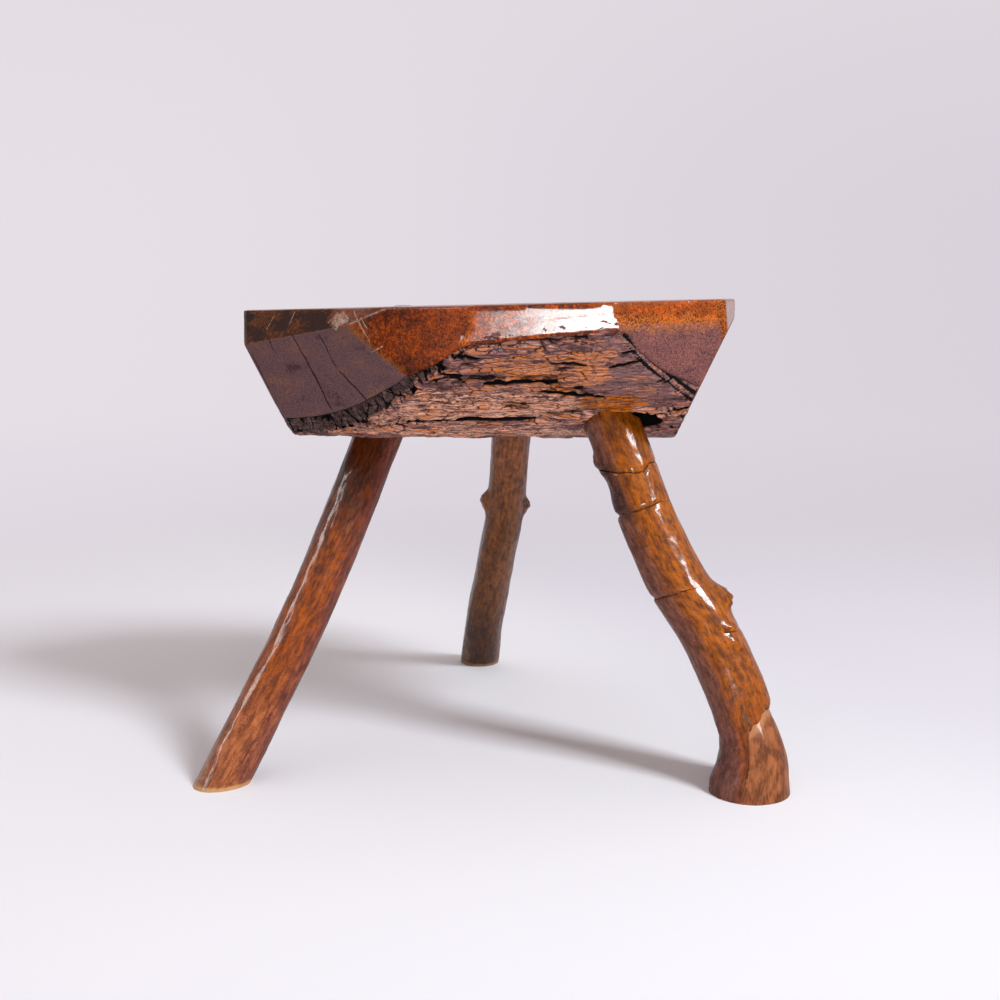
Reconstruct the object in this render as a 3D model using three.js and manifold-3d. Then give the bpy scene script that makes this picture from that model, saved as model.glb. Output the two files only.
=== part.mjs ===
// A three-legged milking stool, hewn from a log slab and three branches.
// Millimetres, +Z up, +X to the right as the stool is seen from the front, +Y away from the front.
// The origin is on the floor, under the middle of the stool's overall box.

import * as THREE from 'three';
import { mergeVertices } from 'three/addons/utils/BufferGeometryUtils.js';
import Module from 'manifold-3d';

const wasm = await Module();
wasm.setup();

// Driving dimensions

const fit = 0.3; // gap between pieces that touch
const edge = 1; // how far a cutting solid runs past what it cuts

// The seat
const underHeight = 210; // floor to the lowest bark of the seat
const seatThickness = 87.2; // from there to the flat top, over the origin
const topTilt = 1.35; // degrees by which the top falls to the left
const topHeight = underHeight + seatThickness;

// The log that the seat was split from, lying along X
const barkRadius = 115; // outside the bark
const barkAtBottom = 11; // thickness of the bark under the seat
const barkAtSides = 2.2; // and where it is worn, up the front and the rear
const barkThins = [36, 64]; // degrees from the bottom between which it thins
const logAxisY = -52;
const logAxisZ = underHeight + barkRadius;
const logSides = 48;
const logRows = 8;
const logSwell = 0.8; // how far the log strays from round
const plateReach = [0.8, 1.18]; // shares of the log's radius between which a plate's outline cuts

// The blank, this long to each side of the origin
const blankLeft = 180;
const blankRight = 170;
const underWidth = barkRadius / 2; // from the log's axis to the corners of its underside

// The faces hewn off the blank. Turn is in degrees from the front towards the right, lean is how
// far the face looks down, and reach is how far it stands off the corner of the blank's underside,
// at the seat's lowest level.
const hewnFaces = {
  front: { turn: -1.8, lean: 2.7, reach: 37.6 },
  frontLeftUpper: { turn: -28.9, lean: 0.2, reach: -40.9 },
  frontLeftRim: { turn: -44.6, lean: -36.6, reach: -5.8 },
  frontLeftLower: { turn: -36.9, lean: 11.7, reach: -66.9 },
  leftLower: { turn: -77, lean: 26.2, reach: -59.6 },
  leftRim: { turn: -77, lean: -3, reach: -26.9 },
  frontRightRim: { turn: 32, lean: -3.8, reach: -3.0 },
  frontRight: { turn: 32.1, lean: 2.7, reach: -11.8 },
  rightLower: { turn: 80, lean: 25.2, reach: -55.3 },
  rightRim: { turn: 76, lean: -4.8, reach: -15.2 },
  rearLeft: { turn: -146, lean: 6, reach: -22.4 },
  rearLeftEnd: { turn: -112, lean: 20, reach: -42.6 },
  rear: { turn: 176, lean: 4, reach: 34.4 },
  rearRight: { turn: 149, lean: 9, reach: -18.1 },
  rearRightEnd: { turn: 104, lean: 22, reach: -53.9 },
};

// Legs are branches. Foot is [x, y] on the floor. Head is where the leg meets the seat and tenon
// where it comes out of the top: [x, share of the log's radius behind its axis]. Bends are
// [share of the way up to the head, x, y] off the straight line, and girths are
// [share of the way up, radius with the bark on].
const headDrop = 7; // from the lowest bark of the seat down to the leg's head
const headHeight = underHeight - headDrop;
const legBark = 2.2;
const runUnder = 0.6; // how far a branch runs on under the floor, as a share of its first stretch
const runOver = 0.15; // and above the seat, as a share of its last
const legSides = 12;
const legRings = 16;
const tenonRadius = 12.2; // where it shows in the top of the seat
const socketFit = 0.5; // gap between a leg's bark and the hole in the seat's bark
const legs = {
  left: {
    foot: [-168, -142],
    head: [-79, 0.13],
    tenon: [-44, 0.55],
    bends: [[0.216, 2.8, -0.6], [0.567, 4.8, -0.2]],
    girths: [[0, 15.6], [0.3, 15.4], [0.64, 15.7], [1, 16.1]],
  },
  right: {
    foot: [160, -156],
    head: [85, -0.39],
    tenon: [51, -0.15],
    bends: [[0.103, 9.8, -0.1], [0.261, 14.6, -0.4], [0.453, 12, 0.3], [0.606, 4.4, 1.2],
      [0.754, 0.5, 0.5]],
    girths: [[0, 25], [0.04, 23.5], [0.108, 21.4], [0.167, 19.6], [0.22, 18.4], [0.49, 18.7],
      [0.59, 19.2], [0.69, 18.3], [0.86, 17.8], [1, 17.7]],
  },
  rear: {
    foot: [-11, 156],
    head: [14.4, 0.75],
    tenon: [19, 0.365],
    bends: [[0.222, -0.6, -2], [0.488, 1.6, -4.5], [0.7, 3.2, -4.7]],
    girths: [[0, 15.8], [0.22, 15], [0.44, 14.5], [0.74, 14.2], [1, 14.2]],
  },
};

// Wedges that spread the tenons from above
const wedgeLength = 38;
const wedgeHead = 5;
const wedgeTip = 1.4;

// Knots: the leg, the share of the way up it, how far off its middle line [x, y], half sizes
// [x, y, z] and turn about Y in degrees
const knots = {
  rightKnot: { leg: 'right', up: 0.552, off: [20, 0.3], half: [13, 9.5, 9], turn: 48 },
  rightFlare: { leg: 'right', up: 0.02, off: [-13.4, -2], half: [14, 14, 12], turn: -8 },
  rearKnotLeft: { leg: 'rear', up: 0.748, off: [-13.8, 1], half: [6.5, 5, 9], turn: 20 },
  rearKnotRight: { leg: 'rear', up: 0.723, off: [13, 0], half: [7, 5, 8], turn: -20 },
};

// Cracks round the bark of the right leg: share of the way up, and slope in degrees
const rightBarkCracks = [
  { up: 0.197, slope: 35 },
  { up: 0.48, slope: 4 },
  { up: 0.591, slope: 22 },
  { up: 0.84, slope: 18 },
  { up: 0.95, slope: 10 },
];
const legCrack = 0.8; // width of a crack round the leg

// Bark of the seat: long cracks run along the log, as [x, degrees] with 0 at the bottom
// and the front positive, and short splits cross them
const barkCrack = 1.6; // width of a crack in the seat's bark
const crackWander = 1.1; // degrees that a crack strays to either side
const crackStep = 10; // length of a crack's straight stretches
const splitStep = 4; // degrees between a split's points
const crossingTries = 8; // steps that close in on the place where a split meets a crack
const longCracks = {
  frontTop: [[-blankLeft, 84], [blankRight, 84]],
  frontUpper: [[-110, 36], [-60, 41], [-30, 47], [-8, 50], [30, 50], [58, 45], [80, 47], [120, 50]],
  frontLower: [[-130, 22], [-75, 25], [-58, 29], [-30, 31], [20, 32], [62, 30], [100, 31], [130, 33]],
  underFront: [[-150, 7], [-70, 3], [0, 6], [60, 2], [140, 5]],
  underRear: [[-150, -22], [-60, -27], [0, -23], [70, -28], [140, -24]],
  rearLower: [[-150, -47], [-60, -52], [10, -48], [80, -53], [140, -49]],
  rearTop: [[-blankLeft, -84], [blankRight, -84]],
};
// Each split is at x on the line of that angle, and moves along the log by so much a degree
const splits = {
  leftEnd: { x: -blankLeft, angle: 0, slant: 0 },
  rightEnd: { x: blankRight, angle: 0, slant: 0 },
  frontLeft: { x: -6, angle: 52, slant: 0.5 },
  frontRight: { x: 64, angle: 52, slant: -0.4 },
  rim: { x: -66, angle: 34, slant: 1.1 },
  corner: { x: 66, angle: 38, slant: -0.5 },
  lowerLeft: { x: -92, angle: 15, slant: 0.9 },
  lowerRight: { x: 58, angle: 15, slant: 0.3 },
  underLeft: { x: -36, angle: -10, slant: 0.4 },
  underRight: { x: 52, angle: -10, slant: -0.3 },
  rearLower: { x: -18, angle: -38, slant: 0.3 },
  rearUpper: { x: 22, angle: -66, slant: -0.3 },
};
const barkPlates = {
  bark_front_left: ['frontUpper', 'frontTop', 'leftEnd', 'frontLeft'],
  bark_front_middle: ['frontUpper', 'frontTop', 'frontLeft', 'frontRight'],
  bark_front_right: ['frontUpper', 'frontTop', 'frontRight', 'rightEnd'],
  bark_left_rim: ['frontLower', 'frontUpper', 'leftEnd', 'rim'],
  bark_front_strip: ['frontLower', 'frontUpper', 'rim', 'corner'],
  bark_right_corner: ['frontLower', 'frontUpper', 'corner', 'rightEnd'],
  bark_lower_left: ['underFront', 'frontLower', 'leftEnd', 'lowerLeft'],
  bark_lower_strip: ['underFront', 'frontLower', 'lowerLeft', 'lowerRight'],
  bark_lower_right: ['underFront', 'frontLower', 'lowerRight', 'rightEnd'],
  bark_under_left: ['underRear', 'underFront', 'leftEnd', 'underLeft'],
  bark_under_middle: ['underRear', 'underFront', 'underLeft', 'underRight'],
  bark_under_right: ['underRear', 'underFront', 'underRight', 'rightEnd'],
  bark_rear_lower_left: ['rearLower', 'underRear', 'leftEnd', 'rearLower'],
  bark_rear_lower_right: ['rearLower', 'underRear', 'rearLower', 'rightEnd'],
  bark_rear_upper_left: ['rearTop', 'rearLower', 'leftEnd', 'rearUpper'],
  bark_rear_upper_right: ['rearTop', 'rearLower', 'rearUpper', 'rightEnd'],
};

// Torn bark round the right leg's socket, as a hollow placed like a knot, but higher by its rise
const socketTear = { leg: 'right', up: 1, off: [-1, -10], rise: 19, half: [27, 17, 16], turn: 0 };

// Colours and finishes
const finishes = {
  seatWood: { color: 0x762d0a, roughness: 0.35, metalness: 0 },
  seatBark: { color: 0x6a4a45, roughness: 0.7, metalness: 0 },
  legWood: { color: 0xab6842, roughness: 0.6, metalness: 0 },
  legBark: { color: 0x96522a, roughness: 0.4, metalness: 0 },
  wedge: { color: 0xb98a5c, roughness: 0.6, metalness: 0 },
};

// Solids from geometries and back

function signedVolume(geometry) {
  const position = geometry.attributes.position;
  const a = new THREE.Vector3();
  const b = new THREE.Vector3();
  const c = new THREE.Vector3();
  let volume = 0;
  for (let i = 0; i < geometry.index.count; i += 3) {
    a.fromBufferAttribute(position, geometry.index.getX(i));
    b.fromBufferAttribute(position, geometry.index.getX(i + 1));
    c.fromBufferAttribute(position, geometry.index.getX(i + 2));
    volume += a.dot(b.cross(c)) / 6;
  }
  return volume;
}

function toSolid(source) {
  const bare = source.clone();
  bare.deleteAttribute('normal');
  bare.deleteAttribute('uv');
  const merged = mergeVertices(bare, 1e-4);
  const triVerts = Uint32Array.from(merged.index.array);
  if (signedVolume(merged) < 0) {
    for (let i = 0; i < triVerts.length; i += 3) {
      [triVerts[i + 1], triVerts[i + 2]] = [triVerts[i + 2], triVerts[i + 1]];
    }
  }
  const vertProperties = Float32Array.from(merged.attributes.position.array);
  return new wasm.Manifold(new wasm.Mesh({ numProp: 3, vertProperties, triVerts }));
}

function toGeometry(solid) {
  const mesh = solid.getMesh();
  const geometry = new THREE.BufferGeometry();
  geometry.setAttribute('position', new THREE.BufferAttribute(mesh.vertProperties, 3));
  geometry.setIndex(new THREE.BufferAttribute(mesh.triVerts, 1));
  geometry.computeVertexNormals();
  return geometry;
}

// Moves every point of a geometry to where the function puts it
function reshape(geometry, place) {
  const position = geometry.attributes.position;
  const point = new THREE.Vector3();
  for (let i = 0; i < position.count; i += 1) {
    point.fromBufferAttribute(position, i);
    place(point);
    position.setXYZ(i, point.x, point.y, point.z);
  }
  return geometry;
}

// Straight lines between [key, value] pairs, level past both ends
function along(pairs, key) {
  if (key <= pairs[0][0]) return pairs[0][1];
  for (let i = 1; i < pairs.length; i += 1) {
    const [fromKey, fromValue] = pairs[i - 1];
    const [toKey, toValue] = pairs[i];
    if (key <= toKey) return THREE.MathUtils.mapLinear(key, fromKey, toKey, fromValue, toValue);
  }
  return pairs[pairs.length - 1][1];
}

// The space beyond a plane, as a thick block
function beyond(normal, offset) {
  const size = 3 * (blankLeft + blankRight);
  const block = new THREE.BoxGeometry(size, size, size);
  block.translate(0, 0, size / 2);
  block.applyQuaternion(new THREE.Quaternion().setFromUnitVectors(new THREE.Vector3(0, 0, 1), normal));
  block.translate(...normal.clone().multiplyScalar(offset).toArray());
  return toSolid(block);
}

// The log

// Bark thickness at an angle from the bottom, in radians
function barkThickness(angle) {
  const degrees = Math.abs(THREE.MathUtils.radToDeg(angle));
  const share = THREE.MathUtils.smoothstep(degrees, barkThins[0], barkThins[1]);
  return THREE.MathUtils.lerp(barkAtBottom, barkAtSides, share);
}

// How far the log strays from round, at an angle and a place along it
function swell(angle, x) {
  return logSwell * (Math.sin(3 * angle + x / 70) + 0.6 * Math.sin(5 * angle - x / 45));
}

function onLog(x, angle, radius) {
  const y = logAxisY - radius * Math.sin(angle);
  const z = logAxisZ - radius * Math.cos(angle);
  return new THREE.Vector3(x, y, z);
}

// The whole log, to the radius that the function gives for an angle
function logSolid(radiusAt) {
  const log = new THREE.CylinderGeometry(1, 1, blankLeft + blankRight, logSides, logRows);
  log.translate(0, (blankRight - blankLeft) / 2, 0);
  reshape(log, (point) => {
    const angle = Math.atan2(point.x, point.z);
    const reach = Math.hypot(point.x, point.z);
    point.copy(onLog(point.y, angle, reach * (radiusAt(angle) + swell(angle, point.y))));
  });
  return toSolid(log);
}

function faceNormal({ turn, lean }) {
  const side = THREE.MathUtils.degToRad(turn);
  const down = THREE.MathUtils.degToRad(lean);
  return new THREE.Vector3(
    Math.sin(side) * Math.cos(down),
    -Math.cos(side) * Math.cos(down),
    -Math.sin(down),
  );
}

function hewnAway(face) {
  const side = THREE.MathUtils.degToRad(face.turn);
  const half = face.turn < 0 ? blankLeft : blankRight;
  const corner = half * Math.abs(Math.sin(side)) + underWidth * Math.abs(Math.cos(side));
  const foot = new THREE.Vector3(Math.sin(side), -Math.cos(side), 0);
  foot.multiplyScalar(corner + face.reach).add(new THREE.Vector3(0, logAxisY, underHeight));
  const normal = faceNormal(face);
  return beyond(normal, foot.dot(normal));
}

function aboveTop() {
  const tilt = THREE.MathUtils.degToRad(topTilt);
  const normal = new THREE.Vector3(-Math.sin(tilt), 0, Math.cos(tilt));
  return beyond(normal, topHeight * Math.cos(tilt));
}

function hew(solid) {
  let result = solid.subtract(aboveTop());
  for (const face of Object.values(hewnFaces)) result = result.subtract(hewnAway(face));
  return result;
}

// Branches

// Points of a leg's middle line, from the floor to the top of the seat
function legLine({ foot, head, tenon, bends }) {
  const start = new THREE.Vector3(...foot, 0);
  const end = new THREE.Vector3(head[0], logAxisY + head[1] * barkRadius, headHeight);
  const bent = bends.map(([up, x, y]) => start.clone().lerp(end, up).add(new THREE.Vector3(x, y, 0)));
  return [start, ...bent, end, new THREE.Vector3(tenon[0], logAxisY + tenon[1] * barkRadius, topHeight)];
}

function legCurve(leg) {
  const points = legLine(leg);
  const below = points[0].clone().lerp(points[1], -runUnder);
  const above = points.at(-1).clone().lerp(points.at(-2), -runOver);
  return new THREE.CatmullRomCurve3([below, ...points, above], false, 'centripetal');
}

// Place on a leg's middle line, at a height given as a share of the way up to its head
function legPlace(leg, up) {
  const points = legLine(leg);
  const height = up * headHeight;
  const x = along(points.map((point) => [point.z, point.x]), height);
  const y = along(points.map((point) => [point.z, point.y]), height);
  return new THREE.Vector3(x, y, height);
}

// A branch along a leg's line, peeled by so much, and shaved to the tenon where asked
function branch(leg, peel, shaved = false, grow = 0) {
  const curve = legCurve(leg);
  const rod = new THREE.CylinderGeometry(1, 1, 1, legSides, legRings);
  reshape(rod, (point) => {
    const centre = curve.getPointAt(point.y + 0.5);
    const tangent = curve.getTangentAt(point.y + 0.5);
    const side = new THREE.Vector3(1, 0, 0).projectOnPlane(tangent).normalize();
    const front = new THREE.Vector3().crossVectors(tangent, side);
    const full = along(leg.girths, centre.z / headHeight) - peel;
    const share = THREE.MathUtils.clamp((centre.z - headHeight) / (topHeight - headHeight), 0, 1);
    const radius = (shaved ? THREE.MathUtils.lerp(full, tenonRadius, share) : full) + grow;
    point.copy(centre.addScaledVector(side, point.x * radius).addScaledVector(front, point.z * radius));
  });
  return toSolid(rod);
}

function knot({ leg, up, off, half, turn, rise = 0 }) {
  const ball = new THREE.SphereGeometry(1, 10, 7);
  ball.scale(...half);
  ball.rotateY(THREE.MathUtils.degToRad(turn));
  ball.translate(...legPlace(legs[leg], up).add(new THREE.Vector3(...off, rise)).toArray());
  return toSolid(ball);
}

const underFloor = beyond(new THREE.Vector3(0, 0, -1), 0);

// The space that a wedge fills in a tenon, with its blade across the seat's grain
function wedgeSpace(leg, gap) {
  const [before, last] = legLine(leg).slice(-2);
  const axis = last.clone().sub(before).normalize();
  const outline = new THREE.Shape([
    new THREE.Vector2(-wedgeHead / 2 - gap, edge),
    new THREE.Vector2(-wedgeTip / 2 - gap, -wedgeLength - gap),
    new THREE.Vector2(wedgeTip / 2 + gap, -wedgeLength - gap),
    new THREE.Vector2(wedgeHead / 2 + gap, edge),
  ]);
  const width = 4 * tenonRadius;
  const blade = new THREE.ExtrudeGeometry(outline, { depth: width, bevelEnabled: false });
  blade.translate(0, 0, -width / 2);
  const across = new THREE.Vector3(1, 0, 0).projectOnPlane(axis).normalize();
  const over = new THREE.Vector3().crossVectors(across, axis);
  blade.applyMatrix4(new THREE.Matrix4().makeBasis(across, axis, over));
  blade.translate(...last.toArray());
  return toSolid(blade);
}

// Building the pieces

const woodLog = logSolid((angle) => barkRadius - barkThickness(angle));
const woodClear = logSolid((angle) => barkRadius - barkThickness(angle) + fit);
const barkLog = logSolid(() => barkRadius);
const barkShell = barkLog.subtract(woodClear);

const legCores = {};
const legOuters = {};
const legTenons = {};
for (const [name, leg] of Object.entries(legs)) {
  legCores[name] = branch(leg, legBark + fit, true);
  legOuters[name] = branch(leg, 0);
  legTenons[name] = branch(leg, legBark, true);
}
legCores.right = legCores.right.add(knot(knots.rightFlare));

function seatSlab() {
  let slab = hew(woodLog);
  for (const name of Object.keys(legs)) slab = slab.subtract(legTenons[name]);
  return slab;
}

function legCore(name) {
  const core = legCores[name].subtract(underFloor).subtract(aboveTop());
  return core.subtract(wedgeSpace(legs[name], fit));
}

function wedge(name) {
  return wedgeSpace(legs[name], 0).intersect(legCores[name]).subtract(aboveTop());
}

function legSleeve(name) {
  let sleeve = legOuters[name];
  if (name === 'rear') sleeve = sleeve.add(knot(knots.rearKnotLeft)).add(knot(knots.rearKnotRight));
  if (name === 'right') sleeve = sleeve.add(knot(knots.rightKnot));
  return sleeve.subtract(branch(legs[name], legBark)).subtract(woodClear).subtract(underFloor);
}

function biggestBody(solid) {
  return solid.decompose().reduce((best, body) => (body.volume() > best.volume() ? body : best));
}

// Slice of a leg between two sloping cracks
function between(solid, leg, below, above) {
  const cut = (crack, way) => {
    const tilt = THREE.MathUtils.degToRad(crack.slope);
    const normal = new THREE.Vector3(-Math.sin(tilt), 0, Math.cos(tilt)).multiplyScalar(way);
    return beyond(normal, normal.dot(legPlace(leg, crack.up)) - legCrack / 2);
  };
  let slice = solid.subtract(cut(below, -1));
  if (above) slice = slice.subtract(cut(above, 1));
  return biggestBody(slice);
}

// Angle of a long crack at a place along the log
function crackAngle(crack, x) {
  return along(longCracks[crack], x) + crackWander * Math.sin(x / 8) * Math.sin(x / 19);
}

// Place along the log of a split at an angle
function splitPlace(split, angle) {
  return splits[split].x + splits[split].slant * (angle - splits[split].angle);
}

// Where a split crosses a long crack, each moved aside by half a crack's width
function crossing(split, aside, crack, halfTurn) {
  let place = splits[split].x + aside;
  for (let i = 0; i < crossingTries; i += 1) {
    place = splitPlace(split, crackAngle(crack, place) + halfTurn) + aside;
  }
  return place;
}

// Points of a long crack between two splits, from left to right
function crackLine(crack, halfTurn, left, right) {
  const from = crossing(left, barkCrack / 2, crack, halfTurn);
  const to = crossing(right, -barkCrack / 2, crack, halfTurn);
  const places = [from];
  const first = Math.floor(from / crackStep) + 1;
  for (let i = first; i * crackStep < to; i += 1) places.push(i * crackStep);
  places.push(to);
  return places.map((x) => new THREE.Vector2(x, crackAngle(crack, x) + halfTurn));
}

// Points of a split between the ends of two long cracks, without those ends
function splitLine(split, aside, from, to) {
  const points = [];
  const first = Math.floor(from.y / splitStep) + 1;
  for (let i = first; i * splitStep < to.y; i += 1) {
    points.push(new THREE.Vector2(splitPlace(split, i * splitStep) + aside, i * splitStep));
  }
  return points;
}

// A radial block over a patch of the log, outlined by its cracks
function patchBlock([below, above, left, right]) {
  const halfTurn = THREE.MathUtils.radToDeg(barkCrack / 2 / barkRadius);
  const lower = crackLine(below, halfTurn, left, right);
  const upper = crackLine(above, -halfTurn, left, right);
  const rightSide = splitLine(right, -barkCrack / 2, lower.at(-1), upper.at(-1));
  const leftSide = splitLine(left, barkCrack / 2, lower[0], upper[0]);
  const shape = new THREE.Shape([...lower, ...rightSide, ...upper.reverse(), ...leftSide.reverse()]);
  const block = new THREE.ExtrudeGeometry(shape, { depth: 1, bevelEnabled: false });
  reshape(block, (point) => {
    const radius = THREE.MathUtils.lerp(...plateReach, point.z) * barkRadius;
    point.copy(onLog(point.x, THREE.MathUtils.degToRad(point.y), radius));
  });
  return toSolid(block);
}

function barkPlate(name) {
  let solid = hew(barkShell.intersect(patchBlock(barkPlates[name])));
  for (const leg of Object.values(legs)) solid = solid.subtract(branch(leg, 0, false, socketFit));
  solid = solid.subtract(knot(socketTear));
  return biggestBody(solid);
}

// The assembly

const stool = new THREE.Group();

function addPiece(parent, name, solid, finish) {
  const mesh = new THREE.Mesh(toGeometry(solid), new THREE.MeshStandardMaterial(finishes[finish]));
  mesh.name = name;
  parent.add(mesh);
}

const seat = new THREE.Group();
stool.add(seat);
addPiece(seat, 'seat_slab', seatSlab(), 'seatWood');
for (const name of Object.keys(barkPlates)) addPiece(seat, name, barkPlate(name), 'seatBark');

for (const name of Object.keys(legs)) {
  const leg = new THREE.Group();
  stool.add(leg);
  addPiece(leg, `leg_${name}_core`, legCore(name), 'legWood');
  addPiece(leg, `wedge_${name}`, wedge(name), 'wedge');
  const sleeve = legSleeve(name);
  if (name === 'right') {
    rightBarkCracks.forEach((crack, index) => {
      const slice = between(sleeve, legs.right, crack, rightBarkCracks[index + 1]);
      addPiece(leg, `leg_right_bark_${index + 1}`, slice, 'legBark');
    });
  } else {
    addPiece(leg, `leg_${name}_bark`, biggestBody(sleeve), 'legBark');
  }
}

export default stool;
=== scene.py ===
"""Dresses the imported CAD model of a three-legged milking stool: hewn seat, bark and branch legs."""

from __future__ import annotations

import logging
import math
from collections.abc import Callable, Sequence
from dataclasses import dataclass, field
from enum import Enum

import bmesh
import bpy
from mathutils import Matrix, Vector, noise


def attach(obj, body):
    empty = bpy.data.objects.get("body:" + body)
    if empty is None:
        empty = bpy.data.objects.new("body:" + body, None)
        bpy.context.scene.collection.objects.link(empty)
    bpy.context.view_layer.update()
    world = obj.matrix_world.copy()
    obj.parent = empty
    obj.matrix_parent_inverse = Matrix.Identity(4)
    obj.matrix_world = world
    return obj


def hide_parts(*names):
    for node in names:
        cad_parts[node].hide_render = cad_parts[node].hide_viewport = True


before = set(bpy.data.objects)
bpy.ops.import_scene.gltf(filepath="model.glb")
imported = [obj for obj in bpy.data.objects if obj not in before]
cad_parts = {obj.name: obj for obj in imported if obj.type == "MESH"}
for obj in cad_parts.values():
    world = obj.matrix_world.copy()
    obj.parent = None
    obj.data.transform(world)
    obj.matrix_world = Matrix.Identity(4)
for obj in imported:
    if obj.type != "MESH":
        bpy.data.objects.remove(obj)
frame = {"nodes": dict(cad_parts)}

# A millimetre in metres, a degree round the log in millimetres, and how near doubles lie in millimetres
MM = 0.001
ROUND_STEP = 2.0
WELD = 0.02
FINE_WELD = 0.002

# Kinds of value
Colour = tuple[float, float, float]
Number = "Value | float"
Spot = tuple[Number, Number, Number]
Look = "tuple[Value, Value, Value, Value]"
Pair = tuple[float, float]
Line = tuple[Pair, Pair, float]

log = logging.getLogger("stool")


def tone(red: int, green: int, blue: int) -> Colour:
    """Linear colour of a tone given from 0 to 255, as a screen shows it."""
    shares = (red / 255, green / 255, blue / 255)
    return tuple(s / 12.92 if s <= 0.04045 else ((s + 0.055) / 1.055) ** 2.4 for s in shares)


def ease(low: float, high: float, value: float) -> float:
    """Smooth step from 0 at low to 1 at high, also where low is the larger."""
    share = min(1.0, max(0.0, (value - low) / (high - low)))
    return share * share * (3 - 2 * share)


def between(pairs: Sequence[Pair], key: float) -> float:
    """Value at a key on straight lines between pairs, level past both ends."""
    if key <= pairs[0][0]:
        return pairs[0][1]
    for (from_key, from_value), (to_key, to_value) in zip(pairs, pairs[1:]):
        if key <= to_key:
            return from_value + (to_value - from_value) * (key - from_key) / (to_key - from_key)
    return pairs[-1][1]


def rough(x: float, y: float, z: float, seed: float = 0.0) -> float:
    """Smooth noise between about -1 and 1 at a place, repeatable for a seed."""
    return noise.noise(Vector((x + 17.3 * seed, y - 9.1 * seed, z + 4.7 * seed)))


def operator(operation: str, swapped: bool = False) -> Callable[[Value, Number], Value]:
    """Method that joins a value and another by a Math node, the other first where swapped."""

    def method(first: Value, second: Number) -> Value:
        """Output of the Math node."""
        return first.maths(operation, *((second, first) if swapped else (first, second)))

    return method


class Value:
    """A shader socket that takes part in ordinary arithmetic."""

    __add__ = operator("ADD")
    __radd__ = operator("ADD", True)
    __sub__ = operator("SUBTRACT")
    __rsub__ = operator("SUBTRACT", True)
    __mul__ = operator("MULTIPLY")
    __rmul__ = operator("MULTIPLY", True)
    __truediv__ = operator("DIVIDE")
    larger = operator("MAXIMUM")
    smaller = operator("MINIMUM")

    def __init__(self, shader: Shader, socket: bpy.types.NodeSocket) -> None:
        """Wraps one output socket of a shader's tree."""
        self.shader = shader
        self.socket = socket

    def maths(self, operation: str, *operands: Number) -> Value:
        """A Math node on the operands, in order."""
        return self.shader.node("ShaderNodeMath", {"operation": operation}, dict(enumerate(operands)))

    def sine(self) -> Value:
        """Sine of an angle in radians."""
        return self.maths("SINE", self)

    def size(self) -> Value:
        """Value without its sign."""
        return self.maths("ABSOLUTE", self)

    def root(self) -> Value:
        """Square root."""
        return self.maths("SQRT", self)

    def eased(self, low: float, high: float, start: float = 0.0, end: float = 1.0) -> Value:
        """Smooth step from start where this is at low to end where it is at high.

        Args:
            low: value of this at which the result is start.
            high: value of this at which the result is end; may be the smaller.
            start: result at and before low.
            end: result at and past high.

        Returns:
            The eased value.
        """
        if low > high:
            low, high, start, end = high, low, end, start
        sockets = {0: self, 1: low, 2: high, 3: start, 4: end}
        return self.shader.node("ShaderNodeMapRange", {"interpolation_type": "SMOOTHSTEP"}, sockets)


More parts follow.
